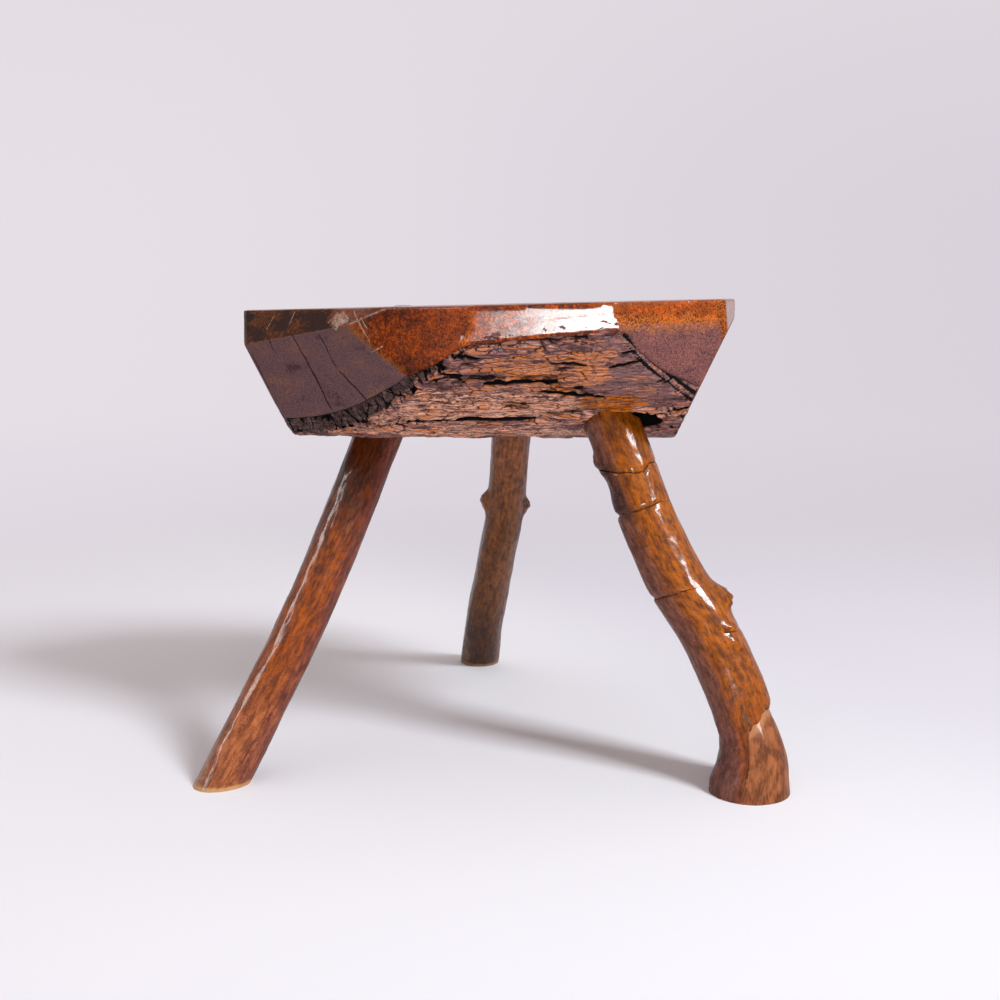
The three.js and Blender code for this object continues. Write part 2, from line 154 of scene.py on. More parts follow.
class Shader:
    """One material and its node tree, ending in a Principled surface."""

    coat_roughness = 0.16
    coat_ior = 1.28
    bare_gloss = 0.06

    def __init__(self, name: str) -> None:
        """Starts a material with an empty tree, its surface and its output."""
        self.material = bpy.data.materials.new(name)
        self.material.use_nodes = True
        self.tree = self.material.node_tree
        self.tree.nodes.clear()
        self.surface = self.tree.nodes.new("ShaderNodeBsdfPrincipled")
        self.output = self.tree.nodes.new("ShaderNodeOutputMaterial")
        self.tree.links.new(self.surface.outputs[0], self.output.inputs[0])

    def put(self, socket: bpy.types.NodeSocket, value: Value | float | Sequence[float]) -> None:
        """Links a value to an input socket, or writes a number or colour into it."""
        if isinstance(value, Value):
            self.tree.links.new(value.socket, socket)
        elif isinstance(value, (int, float)):
            socket.default_value = value
        else:
            parts = tuple(value)
            wanted = len(socket.default_value)
            socket.default_value = parts if len(parts) == wanted else (*parts, 1.0)

    def node(self, kind: str, settings: dict | None = None, sockets: dict | None = None,
             output: int | str = 0) -> Value:
        """Adds a node.

        Args:
            kind: node type.
            settings: attributes set before its sockets.
            sockets: values or links by socket name or number.
            output: name or number of the output to return.

        Returns:
            The output socket as a value.
        """
        made = self.tree.nodes.new(kind)
        for key, value in (settings or {}).items():
            setattr(made, key, value)
        for key, value in (sockets or {}).items():
            self.put(made.inputs[key], value)
        return Value(self, made.outputs[output])

    def place(self) -> tuple[Value, Value, Value]:
        """Object coordinates x, y and z in millimetres."""
        source = self.node("ShaderNodeTexCoord", output="Object")
        scaled = self.node("ShaderNodeVectorMath", {"operation": "SCALE"}, {0: source, "Scale": 1 / MM})
        return self.parts(scaled)

    def stored(self, name: str) -> Value:
        """Vector or colour attribute of the mesh."""
        return self.node("ShaderNodeAttribute", {"attribute_name": name}, output="Vector")

    def parts(self, vector: Value) -> tuple[Value, Value, Value]:
        """Three numbers of a vector."""
        split = self.tree.nodes.new("ShaderNodeSeparateXYZ")
        self.put(split.inputs[0], vector)
        return tuple(Value(self, out) for out in split.outputs)

    def vector(self, spot: Spot) -> Value:
        """Vector of three numbers."""
        return self.node("ShaderNodeCombineXYZ", None, dict(enumerate(spot)))

    def grain(self, spot: Spot, detail: float = 3.0, roughness: float = 0.55) -> Value:
        """Noise from 0 to 1 with one cell per unit of the spot's coordinates."""
        sockets = {"Vector": self.vector(spot), "Scale": 1.0, "Detail": detail, "Roughness": roughness}
        return self.node("ShaderNodeTexNoise", None, sockets)

    def cells(self, spot: Spot, feature: str = "F1") -> Value:
        """Distance in a cell pattern with one cell per unit of the spot's coordinates."""
        sockets = {"Vector": self.vector(spot), "Scale": 1.0}
        return self.node("ShaderNodeTexVoronoi", {"feature": feature}, sockets, "Distance")

    def mix(self, first: Value | Colour, second: Value | Colour, share: Number) -> Value:
        """Colour between two."""
        return self.node("ShaderNodeMix", {"data_type": "RGBA"}, {0: share, 6: first, 7: second}, 2)

    def over(self, colour: Value | Colour, *layers: tuple[Value | Colour, Number]) -> Value:
        """Colour with others laid over it in turn, each by its share."""
        for tint, share in layers:
            colour = self.mix(colour, tint, share)
        return colour

    def blend(self, first: Number, second: Number, share: Number) -> Value:
        """Number between two."""
        return self.node("ShaderNodeMix", {"data_type": "FLOAT"}, {0: share, 2: first, 3: second})

    def scratch(self, u: Value, v: Value, start: Pair, end: Pair, width: float) -> Value:
        """Mask of a straight line that thins towards both ends.

        Args:
            u: first coordinate, in millimetres.
            v: second coordinate.
            start: first end of the line.
            end: other end.
            width: half width in its middle.

        Returns:
            1 on the line and 0 off it.
        """
        run = (end[0] - start[0], end[1] - start[1])
        length = math.hypot(*run)
        along = ((u - start[0]) * (run[0] / length) + (v - start[1]) * (run[1] / length)) / length
        aside = ((u - start[0]) * (-run[1] / length) + (v - start[1]) * (run[0] / length)).size()
        taper = (along - 0.5).size().eased(0.5, 0.3)
        return aside.eased(width, 0.35 * width) * taper

    def finish(self, colour: Value | Colour, roughness: Number, coat: Number,
               height: Value | None = None) -> bpy.types.Material:
        """Joins the looks to the surface.

        Args:
            colour: base colour.
            roughness: from 0 to 1.
            coat: weight of the varnish.
            height: relief in millimetres for the bump, if any.

        Returns:
            The finished material.
        """
        self.put(self.surface.inputs["Base Color"], colour)
        self.put(self.surface.inputs["Roughness"], roughness)
        self.put(self.surface.inputs["Coat Weight"], coat)
        self.put(self.surface.inputs["Coat Roughness"], self.coat_roughness)
        self.put(self.surface.inputs["Coat IOR"], self.coat_ior)
        self.put(self.surface.inputs["Specular IOR Level"], self.bare_gloss)
        if height is not None:
            sockets = {"Strength": 1.0, "Distance": MM, "Height": height}
            self.put(self.surface.inputs["Normal"], self.node("ShaderNodeBump", None, sockets))
        return self.material

    def cover(self, light: Value, share: Value) -> None:
        """Shows a light in place of the surface by a share."""
        surface = Value(self, self.surface.outputs[0])
        both = self.node("ShaderNodeMixShader", None, {0: share, 1: surface, 2: light})
        self.tree.links.new(both.socket, self.output.inputs[0])


@dataclass(frozen=True)
class Face:
    """A face hewn off the blank, by the angles and reach that the solids have."""

    turn: float
    lean: float
    reach: float

    def plane(self) -> tuple[Vector, float]:
        """Outward direction and distance from the origin."""
        side, down = math.radians(self.turn), math.radians(self.lean)
        half = LOG.blank_left if self.turn < 0 else LOG.blank_right
        corner = half * abs(math.sin(side)) + LOG.radius / 2 * abs(math.cos(side))
        foot = Vector((math.sin(side), -math.cos(side), 0)) * (corner + self.reach)
        foot += Vector((0, LOG.axis_y, LOG.axis_z - LOG.radius))
        out = Vector((math.sin(side) * math.cos(down), -math.cos(side) * math.cos(down), -math.sin(down)))
        return out, foot.dot(out)


@dataclass(frozen=True)
class Log:
    """The log that the seat was split from, lying along X, in millimetres."""

    axis_y: float = -52.0
    axis_z: float = 325.0
    radius: float = 115.0
    blank_left: float = 180.0
    blank_right: float = 170.0
    top: float = 297.2
    tilt: float = 1.35

    def polar(self, point: Vector) -> tuple[float, float]:
        """Angle in degrees from the bottom, towards the front, and distance from the axis."""
        back, up = point.y - self.axis_y, point.z - self.axis_z
        return math.degrees(math.atan2(-back, -up)), math.hypot(back, up)

    def outward(self, angle: float) -> Vector:
        """Direction away from the axis at an angle."""
        turn = math.radians(angle)
        return Vector((0, -math.sin(turn), -math.cos(turn)))

    def onward(self, angle: float) -> Vector:
        """Direction round the log in which the angle grows."""
        turn = math.radians(angle)
        return Vector((0, -math.cos(turn), math.sin(turn)))


LOG = Log()


class Cut(Enum):
    """How a hewn face looks."""

    GLOSSY = "varnished and worn"
    END = "dull end grain"
    RED = "dull reddish end grain"
    BURNT = "dark and varnished"


FACES = {
    "front": (Face(-1.8, 2.7, 37.6), Cut.GLOSSY),
    "front_left_upper": (Face(-28.9, 0.2, -40.9), Cut.GLOSSY),
    "front_left_rim": (Face(-44.6, -36.6, -5.8), Cut.BURNT),
    "front_left_lower": (Face(-36.9, 11.7, -66.9), Cut.END),
    "left_lower": (Face(-77, 26.2, -59.6), Cut.END),
    "left_rim": (Face(-77, -3, -26.9), Cut.BURNT),
    "front_right_rim": (Face(32, -3.8, -3), Cut.GLOSSY),
    "front_right": (Face(32.1, 2.7, -11.8), Cut.RED),
    "right_lower": (Face(80, 25.2, -55.3), Cut.RED),
    "right_rim": (Face(76, -4.8, -15.2), Cut.GLOSSY),
    "rear_left": (Face(-146, 6, -22.4), Cut.GLOSSY),
    "rear_left_end": (Face(-112, 20, -42.6), Cut.END),
    "rear": (Face(176, 4, 34.4), Cut.GLOSSY),
    "rear_right": (Face(149, 9, -18.1), Cut.GLOSSY),
    "rear_right_end": (Face(104, 22, -53.9), Cut.RED),
}


@dataclass(frozen=True)
class HewnLook:
    """Colours and gloss of one kind of hewn face."""

    light: Colour
    middle: Colour
    dark: Colour
    roughness: float
    coat: float
    dimples: float = 0.1


HEWN = {
    Cut.GLOSSY: HewnLook(tone(198, 82, 0), tone(106, 38, 0), tone(30, 12, 3), 0.34, 1.0, 0.3),
    Cut.END: HewnLook(tone(152, 108, 92), tone(124, 95, 99), tone(84, 64, 68), 0.8, 0.0),
    Cut.RED: HewnLook(tone(150, 92, 78), tone(122, 77, 73), tone(86, 56, 60), 0.75, 0.03),
    Cut.BURNT: HewnLook(tone(130, 68, 16), tone(24, 13, 5), tone(8, 5, 3), 0.55, 0.04),
}


@dataclass(frozen=True)
class SeatWood:
    """Finish of the hewn slab: each face in its own look, with saw ticks, checks and scratches; the
    checks' near black is painted shade.
    """

    checks: tuple[Line, ...] = (
        ((-129.5, 282.0), (-114.0, 255.0), 0.45),
        ((-116.0, 258.0), (-100.0, 227.5), 0.5),
        ((-121.0, 268.0), (-108.5, 245.5), 0.3),
        ((-108.5, 280.0), (-96.0, 255.5), 0.35),
        ((-97.5, 258.0), (-74.0, 235.0), 0.5),
        ((-145.5, 277.0), (-140.5, 266.5), 0.35),
        ((-159.0, 268.0), (-139.0, 224.0), 0.45),
    )
    scratches: tuple[Line, ...] = (
        ((-86.0, 295.5), (-73.0, 273.0), 0.7),
        ((-73.5, 268.0), (-64.5, 272.5), 0.6),
        ((-80.0, 290.0), (-75.0, 282.0), 0.5),
        ((-127.0, 293.5), (-130.5, 283.5), 0.5),
        ((-142.0, 291.5), (-148.0, 279.0), 0.35),
        ((-97.0, 293.0), (-90.0, 286.0), 0.4),
    )
    burnt: Pair = (-94.0, -102.0)
    seam: float = 0.07
    spot: Pair = (-95.0, 287.5)

    def material(self) -> bpy.types.Material:
        """Builds the shader."""
        s = Shader("hewn seat wood")
        x, y, z = s.place()
        wander = s.grain((x / 7, y / 7, z / 7)) - 0.5
        grit = s.grain((x / 1.1, y / 1.1, z / 1.1), 2.0)
        (colour, roughness, coat, height), nearest, second = self._hewn(s, x, y, z, wander)
        fore = (y * -1).eased(40, 50)
        # Lighter amber along the edges between faces: partly wear, partly a painted edge highlight.
        worn = (second + wander * 1.5).eased(-0.9, -0.1) * grit.eased(0.4, 0.6)
        turned_edge = (x + z * 0.3).eased(225, 228) * (second + wander * 2).eased(-5.5, -3.5)
        turned = s.mix(tone(70, 32, 12), tone(176, 88, 14), grit.eased(0.4, 0.6))
        # Painted shade: the slab's wood under the bark and in the leg holes goes near black where it shows
        # through the bark's gaps.
        recess_shade = nearest.eased(-0.8, -2.2)
        # Painted shade: the checks are drawn near black, standing in for the shade inside the cracks.
        check_shade = fore * self._lines(s, self.checks, x + wander * 1.6, z + wander * 1.6)
        scratched = fore * grit.eased(0.35, 0.6) * self._lines(s, self.scratches, x + wander, z)
        across, up = x - self.spot[0], z - self.spot[1]
        spot = (across * across / 30 + up * up / 20 + wander * 7).eased(1.3, 0.2)
        colour = s.over(
            colour,
            (tone(196, 122, 50), worn * 0.6),
            *self._stains(s, x, y, z, wander, grit, fore),
            (turned, turned_edge * 0.85),
            (tone(26, 16, 14), recess_shade),
            (tone(212, 190, 168), spot * fore * grit.eased(0.36, 0.62) * 0.75),
            (tone(20, 12, 12), check_shade * 0.92),
            (tone(206, 176, 146), scratched * 0.7),
        )
        height = height - check_shade * 0.9 - scratched * 0.25
        return s.finish(colour, roughness, coat * (1 - recess_shade), height)

    def _hewn(self, s: Shader, x: Value, y: Value, z: Value, wander: Value) -> tuple[Look, Value, Value]:
        """Finds the hewn face that each place lies on.

        Args:
            s: the shader.
            x: place along the log, in millimetres.
            y: place across it.
            z: height.
            wander: noise that makes the edges between faces uneven.

        Returns:
            The face's look, and how far outside the nearest and the next face the place lies.
        """
        looks = {cut: self._look(s, look, x, y, z, cut) for cut, look in HEWN.items()}
        shown = self._top(s, x, y)
        tilt = math.radians(LOG.tilt)
        nearest = z * math.cos(tilt) - x * math.sin(tilt) - LOG.top * math.cos(tilt)
        second = nearest - 100
        for face, cut in FACES.values():
            out, offset = face.plane()
            reach = x * out.x + y * out.y + z * out.z - offset
            share = (reach - nearest + 0.2 * wander).eased(-self.seam, self.seam)
            own = looks[cut]
            if cut is Cut.BURNT:
                own = self._between(s, looks[Cut.GLOSSY], own, (x + wander * 16).eased(*self.burnt))
            shown = self._between(s, shown, own, share)
            second = second.larger(nearest.smaller(reach))
            nearest = nearest.larger(reach)
        return shown, nearest, second

    def _stains(self, s: Shader, x: Value, y: Value, z: Value, wander: Value, grit: Value,
                fore: Value) -> tuple[tuple[Colour, Value], ...]:
        """Tones and shares of the dusty, shaded, warm and glowing parts of the front."""
        hatch = s.grain(((x - z * 0.8) / 7, y / 4, (x * 0.8 + z) / 0.7), 2.0)
        dusty = (x + wander * 20).eased(-66, -84) * (x + wander * 16).eased(-102, -94)
        dusty = dusty * fore * (z + wander * 12).eased(272, 280)
        shaded = (x + wander * 20).eased(-26, -50) * fore
        warm = (x + wander * 24).eased(-52, -30) * (x + wander * 24).eased(2, -14)
        warm = warm * fore * (z + wander * 14).eased(262, 272) * grit.eased(0.4, 0.55)
        glowing = (x + wander * 20).eased(48, 66) * fore
        glowing = glowing * (z + wander * 6).eased(280, 287) * grit.eased(0.3, 0.6)
        return (
            (tone(122, 92, 74), dusty * hatch.eased(0.46, 0.6) * 0.75),
            (tone(70, 24, 2), shaded * 0.28),
            (tone(190, 80, 0), warm * 0.45),
            (tone(204, 100, 30), glowing * 0.35),
        )

    def _between(self, s: Shader, first: Look, second: Look, share: Value) -> Look:
        """Look between two, by a share."""
        numbers = [s.blend(before, after, share) for before, after in zip(first[1:], second[1:])]
        return (s.mix(first[0], second[0], share), *numbers)

    def _lines(self, s: Shader, lines: tuple[Line, ...], u: Value, v: Value) -> Value:
        """Mask of several thin lines."""
        masks = [s.scratch(u, v, *line) for line in lines]
        joined = masks[0]
        for mask in masks[1:]:
            joined = joined.larger(mask)
        return joined

    def _look(self, s: Shader, look: HewnLook, x: Value, y: Value, z: Value, cut: Cut) -> Look:
        """Colour, roughness, coat and relief of one kind of face."""
        broad = s.grain((x / 20, y / 20, z / 11))
        fine = s.grain((x / 2.8, y / 2.8, z / 2.8), 6.0, 0.72)
        dull = cut in (Cut.END, Cut.RED)
        red = cut is Cut.RED
        share = broad * 0.6 + fine * 0.5 - 0.05 if dull else broad * 0.8 + fine * 0.8 - 0.3
        start, full = (0.5, 0.7) if dull else (0.47, 0.6)
        colour = s.mix(look.dark, look.middle, share.eased(0.34, start - 0.03))
        colour = s.mix(colour, look.light, share.eased(start, full))
        if dull:
            flat, dark, pale = (0.8, 0.8, 0.6) if red else (0.55, 0.6, 0.12)
            ticks = s.grain((x / 1.1 + z / 3, y / 1.1, z / flat), 3.0, 0.65)
            colour = s.over(colour, (look.dark, ticks.eased(0.5, 0.6) * dark),
                            (look.light, ticks.eased(0.46, 0.38) * pale))
            roughness = fine.eased(0.3, 0.7, look.roughness - 0.05, look.roughness + 0.1)
            return colour, roughness, fine * look.coat, fine * 0.35 - ticks.eased(0.5, 0.7) * 0.3
        specks = s.grain((x / 1.5, y / 1.5, z / 1.8), 4.0, 0.75)
        strokes = s.grain(((x + z * 0.9) / 0.8, y / 6, (x - z) / 9), 2.0)
        colour = s.over(
            colour,
            (look.dark, (specks * 0.6 + broad * 0.4).eased(0.49, 0.58) * 0.75),
            (look.light, strokes.eased(0.62, 0.72) * 0.45),
            (look.dark, strokes.eased(0.45, 0.35) * 0.5),
        )
        dimples = s.cells((x / 2.0, y / 2.0, z / 1.6))
        dimples = dimples + 0.6 * s.cells((x / 0.9, y / 0.9, z / 0.8))
        peel = x.eased(34, 12) * x.eased(-70, -30) * 0.8 + 0.2
        height = dimples * peel * look.dimples * 2.2 + fine * 0.2
        roughness = fine.eased(0.3, 0.7, look.roughness - 0.08, look.roughness + 0.12)
        coat = specks.eased(0.3, 0.75, look.coat, look.coat * 0.6) * x.eased(-46, -22, 0.35, 1.0)
        return colour, roughness, coat, height

    def _top(self, s: Shader, x: Value, y: Value) -> Look:
        """Colour, roughness, coat and relief of the flat top, with its grain along the log."""
        bend = s.grain((x / 90, y / 40, 0.0), 2.0) * 9
        streak = s.grain((x / 70, y / 2.4 + bend, 0.3), 4.0, 0.6)
        broad = s.grain((x / 60, y / 30, 1.7))
        fine = s.grain((x / 6, y / 0.9 + bend, 0.9))
        split = (s.grain((x / 120, y / 7 + bend * 0.3, 5.2), 1.0) - 0.5).size()
        # Painted shade: the splits in the top are drawn near black as the shade inside them.
        gap = split.eased(0.008, 0.001) * broad.eased(0.45, 0.6)
        colour = s.over(
            tone(74, 34, 14),
            (tone(150, 76, 28), streak.eased(0.35, 0.6)),
            (tone(190, 112, 48), (streak * broad).eased(0.28, 0.4) * 0.6),
            (tone(46, 24, 14), fine.eased(0.56, 0.72) * 0.6),
            (tone(20, 12, 10), gap),
        )
        height = streak * 0.5 + fine * 0.25 - gap * 0.8
        return colour, fine.eased(0.3, 0.7, 0.28, 0.42), broad.eased(0.3, 0.7, 0.95, 0.65), height


@dataclass(frozen=True)
class SeatBark:
    """Finish of the bark plates, led by the tones that the relief stores on the mesh."""

    varnish: float = 0.6

    def material(self) -> bpy.types.Material:
        """Builds the shader."""
        s = Shader("seat bark")
        x, y, z = s.place()
        inner, fibre, grey = s.parts(s.stored("tones"))
        height, gloss, end = s.parts(s.stored("relief"))
        drift = (s.grain((x / 12, y / 6, z / 6), 2.0) - 0.5) * 5
        fibres = s.grain((x / 13, (y + drift) / 1.3, (z + drift) / 1.3), 6.0, 0.7)
        coarse = s.grain((x / 17, y / 4.5, z / 4.5), 5.0, 0.62)
        grit = s.grain((x / 1.7, y / 0.8, z / 0.8), 4.0, 0.72)
        flakes = s.cells(((x + drift * 2) / 15, (y + drift) / 3.4, (z + drift) / 3.4), "DISTANCE_TO_EDGE")
        # Painted shade: the cracks between flakes are drawn near black as the shade inside them.
        crack = flakes.eased(0.075, 0.012) * coarse.eased(0.42, 0.56) * (1 - grey * 0.5)
        edge = (grit - 0.5) * 0.9 + (coarse - 0.5) * 1.5 + (fibres - 0.5) * 1.1
        share = fibres * 0.65 + grit * 0.35
        ash = s.mix(tone(106, 78, 80), tone(156, 114, 112), share.eased(0.36, 0.6))
        ash = s.mix(ash, tone(166, 96, 62), coarse.eased(0.54, 0.68) * 0.5)
        pink = s.mix(tone(128, 76, 66), tone(254, 188, 156), share.eased(0.4, 0.57))
        pink = s.mix(pink, tone(214, 116, 56), coarse.eased(0.51, 0.62) * 0.6)
        tan = s.mix(tone(118, 66, 48), tone(236, 154, 108), share.eased(0.4, 0.57))
        tan = s.mix(tan, tone(220, 118, 32), (coarse * 0.7 + grit * 0.3).eased(0.5, 0.58) * 0.65)
        ends = s.mix(tone(40, 28, 28), tone(118, 88, 82), (grit * 0.5 + coarse * 0.5).eased(0.4, 0.58))
        amber = s.mix(tone(84, 34, 4), tone(222, 118, 4), (fibres * 0.6 + grit * 0.4).eased(0.42, 0.58))
        colour = s.over(
            tone(86, 58, 60),
            (tone(166, 114, 108), coarse.eased(0.38, 0.58)),
            (tone(222, 152, 128), share.eased(0.5, 0.66) * 0.8),
            (ash, (grey + edge * 3).eased(0.2, 1.0)),
            (pink, (fibre + edge * 3).eased(0.2, 0.9)),
            (tan, (inner + edge * 3.2).eased(0.35, 1.0)),
            (amber, (gloss + edge * 2).eased(0.45, 0.8)),
            (ends, end),
            (tone(34, 22, 24), grit.eased(0.56, 0.7) * 0.55),
            (tone(14, 9, 10), crack * (1 - gloss * 0.7) * 0.9),
            # Painted shade: places sunk half a millimetre or more, the long gaps and the plates' inner
            # sides go near black.
            (tone(9, 6, 7), height.eased(-0.5, -1.6)),
        )
        roughness = s.blend(grit.eased(0.3, 0.7, 0.45, 0.7), 0.26, gloss)
        open_face = height.eased(-1.4, -0.3)
        coat = s.blend(coarse.eased(0.4, 0.65, self.varnish * 0.3, self.varnish), 1.0, gloss) * open_face
        bump = fibres * 1.3 + grit * 0.7 + coarse * 0.8 - crack * 1.1
        return s.finish(colour, roughness, coat, bump)


@dataclass(frozen=True)
class LegBark:
    """Finish of a leg's bark, from the head down to the floor, with one flank in another tone: on the
    right leg the bark's own duller tone, on the left leg a painted sheen of the pale room.
    """

    name: str
    high: tuple[Colour, Colour]
    middle: tuple[Colour, Colour]
    low: tuple[Colour, Colour]
    specks: Colour
    flank_and_sheen: tuple[Colour, Colour]
    flank_and_sheen_band: Pair
    roughness: float = 0.36
    varnish: float = 1.0
    blisters: float = 0.5
    blotches: float = 0.35
    chafed: float = 0.0
    near_black_band: Pair | None = None

    def material(self) -> bpy.types.Material:
        """Builds the shader on the branch's own straightened coordinates."""
        s = Shader(self.name)
        side, front, up = s.parts(s.stored("branch"))
        streak = s.grain((side / 2.0, front / 2.0, up / 9), 4.0, 0.62)
        mottle = s.grain((side / 3.6, front / 3.6, up / 5.0), 5.0, 0.68)
        grit = s.grain((side / 0.9, front / 0.9, up / 1.3), 4.0, 0.75)
        clumps = s.grain((side / 5.5, front / 5.5, up / 8), 3.0, 0.6)
        plain = 0.5 - self.blotches * 0.5
        light = (streak * plain + mottle * self.blotches + grit * plain).eased(0.38, 0.6)
        rise = up + (clumps - 0.5) * 90
        # One flank takes another tone: on the left leg it is a painted reflection of the pale room, on the
        # right leg the bark's own duller colour.
        dull = (side + (clumps - 0.5) * 16).eased(*self.flank_and_sheen_band)
        speckled = (grit * 0.62 + clumps * 0.38).eased(0.5, 0.58)
        colour = s.over(
            s.mix(*self.low, light),
            (s.mix(*self.middle, light), rise.eased(20, 80)),
            (s.mix(*self.high, light), rise.eased(110, 190)),
            (s.mix(*self.flank_and_sheen, light), dull * 0.85),
            (self.specks, speckled * 0.62),
        )
        # A ragged near-black band on the upper flank, just under the seat.
        if self.near_black_band:
            foot, head = self.near_black_band
            ragged = up + (mottle - 0.5) * 14
            near_black_share = ragged.eased(foot, foot + 8) * ragged.eased(head, head - 8) * dull
            near_black_share = near_black_share * (mottle * 0.5 + grit * 0.5).eased(0.4, 0.54)
            colour = s.mix(colour, tone(40, 24, 24), near_black_share * 0.9)
        if self.chafed:
            low_left = (side * -1 - up * 0.18 + (mottle - 0.5) * 22).eased(6, 12)
            sole = (up + (mottle - 0.5) * 4).eased(3.4, 1.2)
            colour = s.over(colour, (tone(176, 134, 98), low_left * grit.eased(0.35, 0.6) * self.chafed),
                            (tone(206, 160, 104), sole * self.chafed))
        bump = streak * 0.35 + mottle * self.blisters * 1.4 + grit * 0.22 - speckled * 0.1
        roughness = grit.eased(0.3, 0.7, self.roughness - 0.1, self.roughness + 0.16)
        coat = mottle.eased(0.35, 0.65, self.varnish, self.varnish * 0.6) * (1 - dull * 0.6)
        return s.finish(colour, roughness, coat, bump)


@dataclass(frozen=True)
class BareWood:
    """Finish of the peeled branch: fine grain along it, paler at the bark's edge."""

    name: str
    light: Colour
    dark: Colour
    margin: Colour = tone(206, 148, 104)
    roughness: float = 0.45
    varnish: float = 0.5

    def material(self) -> bpy.types.Material:
        """Builds the shader on the branch's own straightened coordinates."""
        s = Shader(self.name)
        side, front, up = s.parts(s.stored("branch"))
        below = s.parts(s.stored("bared"))[0]
        reach = (side * side + front * front).root()
        waver = s.grain((side / 8, front / 8, up / 30), 2.0)
        rings = ((reach + waver * 4) * (2 * math.pi / 1.9)).sine()
        lines = s.grain((side / 0.9, front / 0.9, up / 14), 4.0, 0.62)
        blotch = s.grain((side / 6, front / 6, up / 11), 4.0, 0.6)
        grit = s.grain((side / 0.8, front / 0.8, up / 1.4), 3.0, 0.7)
        share = lines * 0.4 + blotch * 0.6 + rings * 0.02
        past = below + (blotch - 0.5) * 7
        lip = past.eased(0.2, 1.5) * past.eased(7.5, 3.5)
        colour = s.over(
            self.dark,
            (self.light, share.eased(0.4, 0.62)),
            (tone(84, 44, 26), (lines * 0.6 + grit * 0.4).eased(0.54, 0.66) * 0.55),
            (self.margin, lip * 0.7),
        )
        roughness = lines.eased(0.3, 0.7, self.roughness, self.roughness + 0.2)
        coat = blotch.eased(0.3, 0.7, self.varnish, self.varnish * 0.4)
        return s.finish(colour, roughness, coat, lines * 0.5 + grit * 0.3 + rings * 0.04)


@dataclass(frozen=True)
class Patch:
    """A ragged patch on the log, by its middle and half sizes in millimetres and degrees."""

    x: float
    angle: float
    half_x: float
    half_angle: float
    ragged: float = 0.5
    beyond: float = 2.6

    def share(self, x: float, angle: float) -> float:
        """1 inside the patch and 0 outside, over a wide soft edge."""
        reach_x = abs(x - self.x) / self.half_x
        reach_angle = abs(angle - self.angle) / self.half_angle
        if max(reach_x, reach_angle) > self.beyond:
            return 0.0
        wide, fine = rough(x / 16, angle / 5, 0.0, self.x), rough(x / 7, angle / 2, 0.0, self.x)
        return ease(1.5, 0.6, math.hypot(reach_x, reach_angle) + self.ragged * (wide + 0.8 * fine))


@dataclass(frozen=True)
class Gap:
    """A long gap in the bark, painted black as shade by the seat bark's finish, as [x, angle] points, with
    its half width and depth in millimetres.
    """

    points: tuple[Pair, ...]
    half: float
    depth: float
    margin: float = 4.0

    def cut(self, x: float, angle: float) -> float:
        """Depth cut at a place, in millimetres."""
        first, last = self.points[0][0], self.points[-1][0]
        if not first - self.margin < x < last + self.margin:
            return 0.0
        line = between(self.points, x) + 0.5 * rough(x / 5, 0.0, 0.0, self.half)
        share = (x - first) / (last - first)
        taper = ease(-0.05, 0.18, share) * ease(1.05, 0.82, share)
        half = self.half * taper * (1 + 0.5 * rough(x / 9, 4.0, 0.0))
        aside = abs(angle - line) * ROUND_STEP
        return self.depth * ease(half + 0.8, 0.4 * half, aside) if half > 0.2 else 0.0


@dataclass(frozen=True)
class Plate:
    """One bark plate: the seams and splits round it, and the size of its mesh's cells in millimetres."""

    lower: str | None
    upper: str | None
    left: str | None
    right: str | None
    voxel: float = 1.0


@dataclass(frozen=True)
class Seam:
    """A crack along the log between bark plates, as [x, angle] points, and how open it is."""

    points: tuple[Pair, ...]
    gape: float

    def aside(self, x: float, angle: float) -> float:
        """Millimetres round the log from a place up to the seam."""
        line = between(self.points, x) + 1.1 * math.sin(x / 8) * math.sin(x / 19)
        return (line - angle) * LOG.radius * math.pi / 180


@dataclass(frozen=True)
class Split:
    """A short crack across the bark: its place, its slant in millimetres a degree, how open it is."""

    x: float
    angle: float
    slant: float
    gape: float = 0.15

    def aside(self, x: float, angle: float) -> float:
        """Millimetres along the log from a place up to the split."""
        return self.x + self.slant * (angle - self.angle) - x


SEAMS = {
    "front_upper": Seam(((-110, 36), (-60, 41), (-30, 47), (-8, 50), (30, 50), (58, 45), (80, 47),
                         (120, 50)), 0.1),
    "front_lower": Seam(((-130, 22), (-75, 25), (-58, 29), (-30, 31), (20, 32), (62, 30), (100, 31),
                         (130, 33)), 0.8),
    "under_front": Seam(((-150, 7), (-70, 3), (0, 6), (60, 2), (140, 5)), 0.5),
    "under_rear": Seam(((-150, -22), (-60, -27), (0, -23), (70, -28), (140, -24)), 0.5),
    "rear_lower": Seam(((-150, -47), (-60, -52), (10, -48), (80, -53), (140, -49)), 0.6),
}


SPLITS = {
    "front_left": Split(-6, 52, 0.5, -0.5),
    "front_right": Split(64, 52, -0.4, -0.8),
    "rim": Split(-66, 34, 1.1, -0.2),
    "corner": Split(66, 38, -0.5, -0.8),
    "lower_left": Split(-92, 15, 0.9),
    "lower_right": Split(58, 15, 0.3),
    "under_left": Split(-36, -10, 0.4, 0.3),
    "under_right": Split(52, -10, -0.3, 0.3),
    "rear_lower": Split(-18, -38, 0.3, 0.3),
    "rear_upper": Split(22, -66, -0.3, 0.3),
}


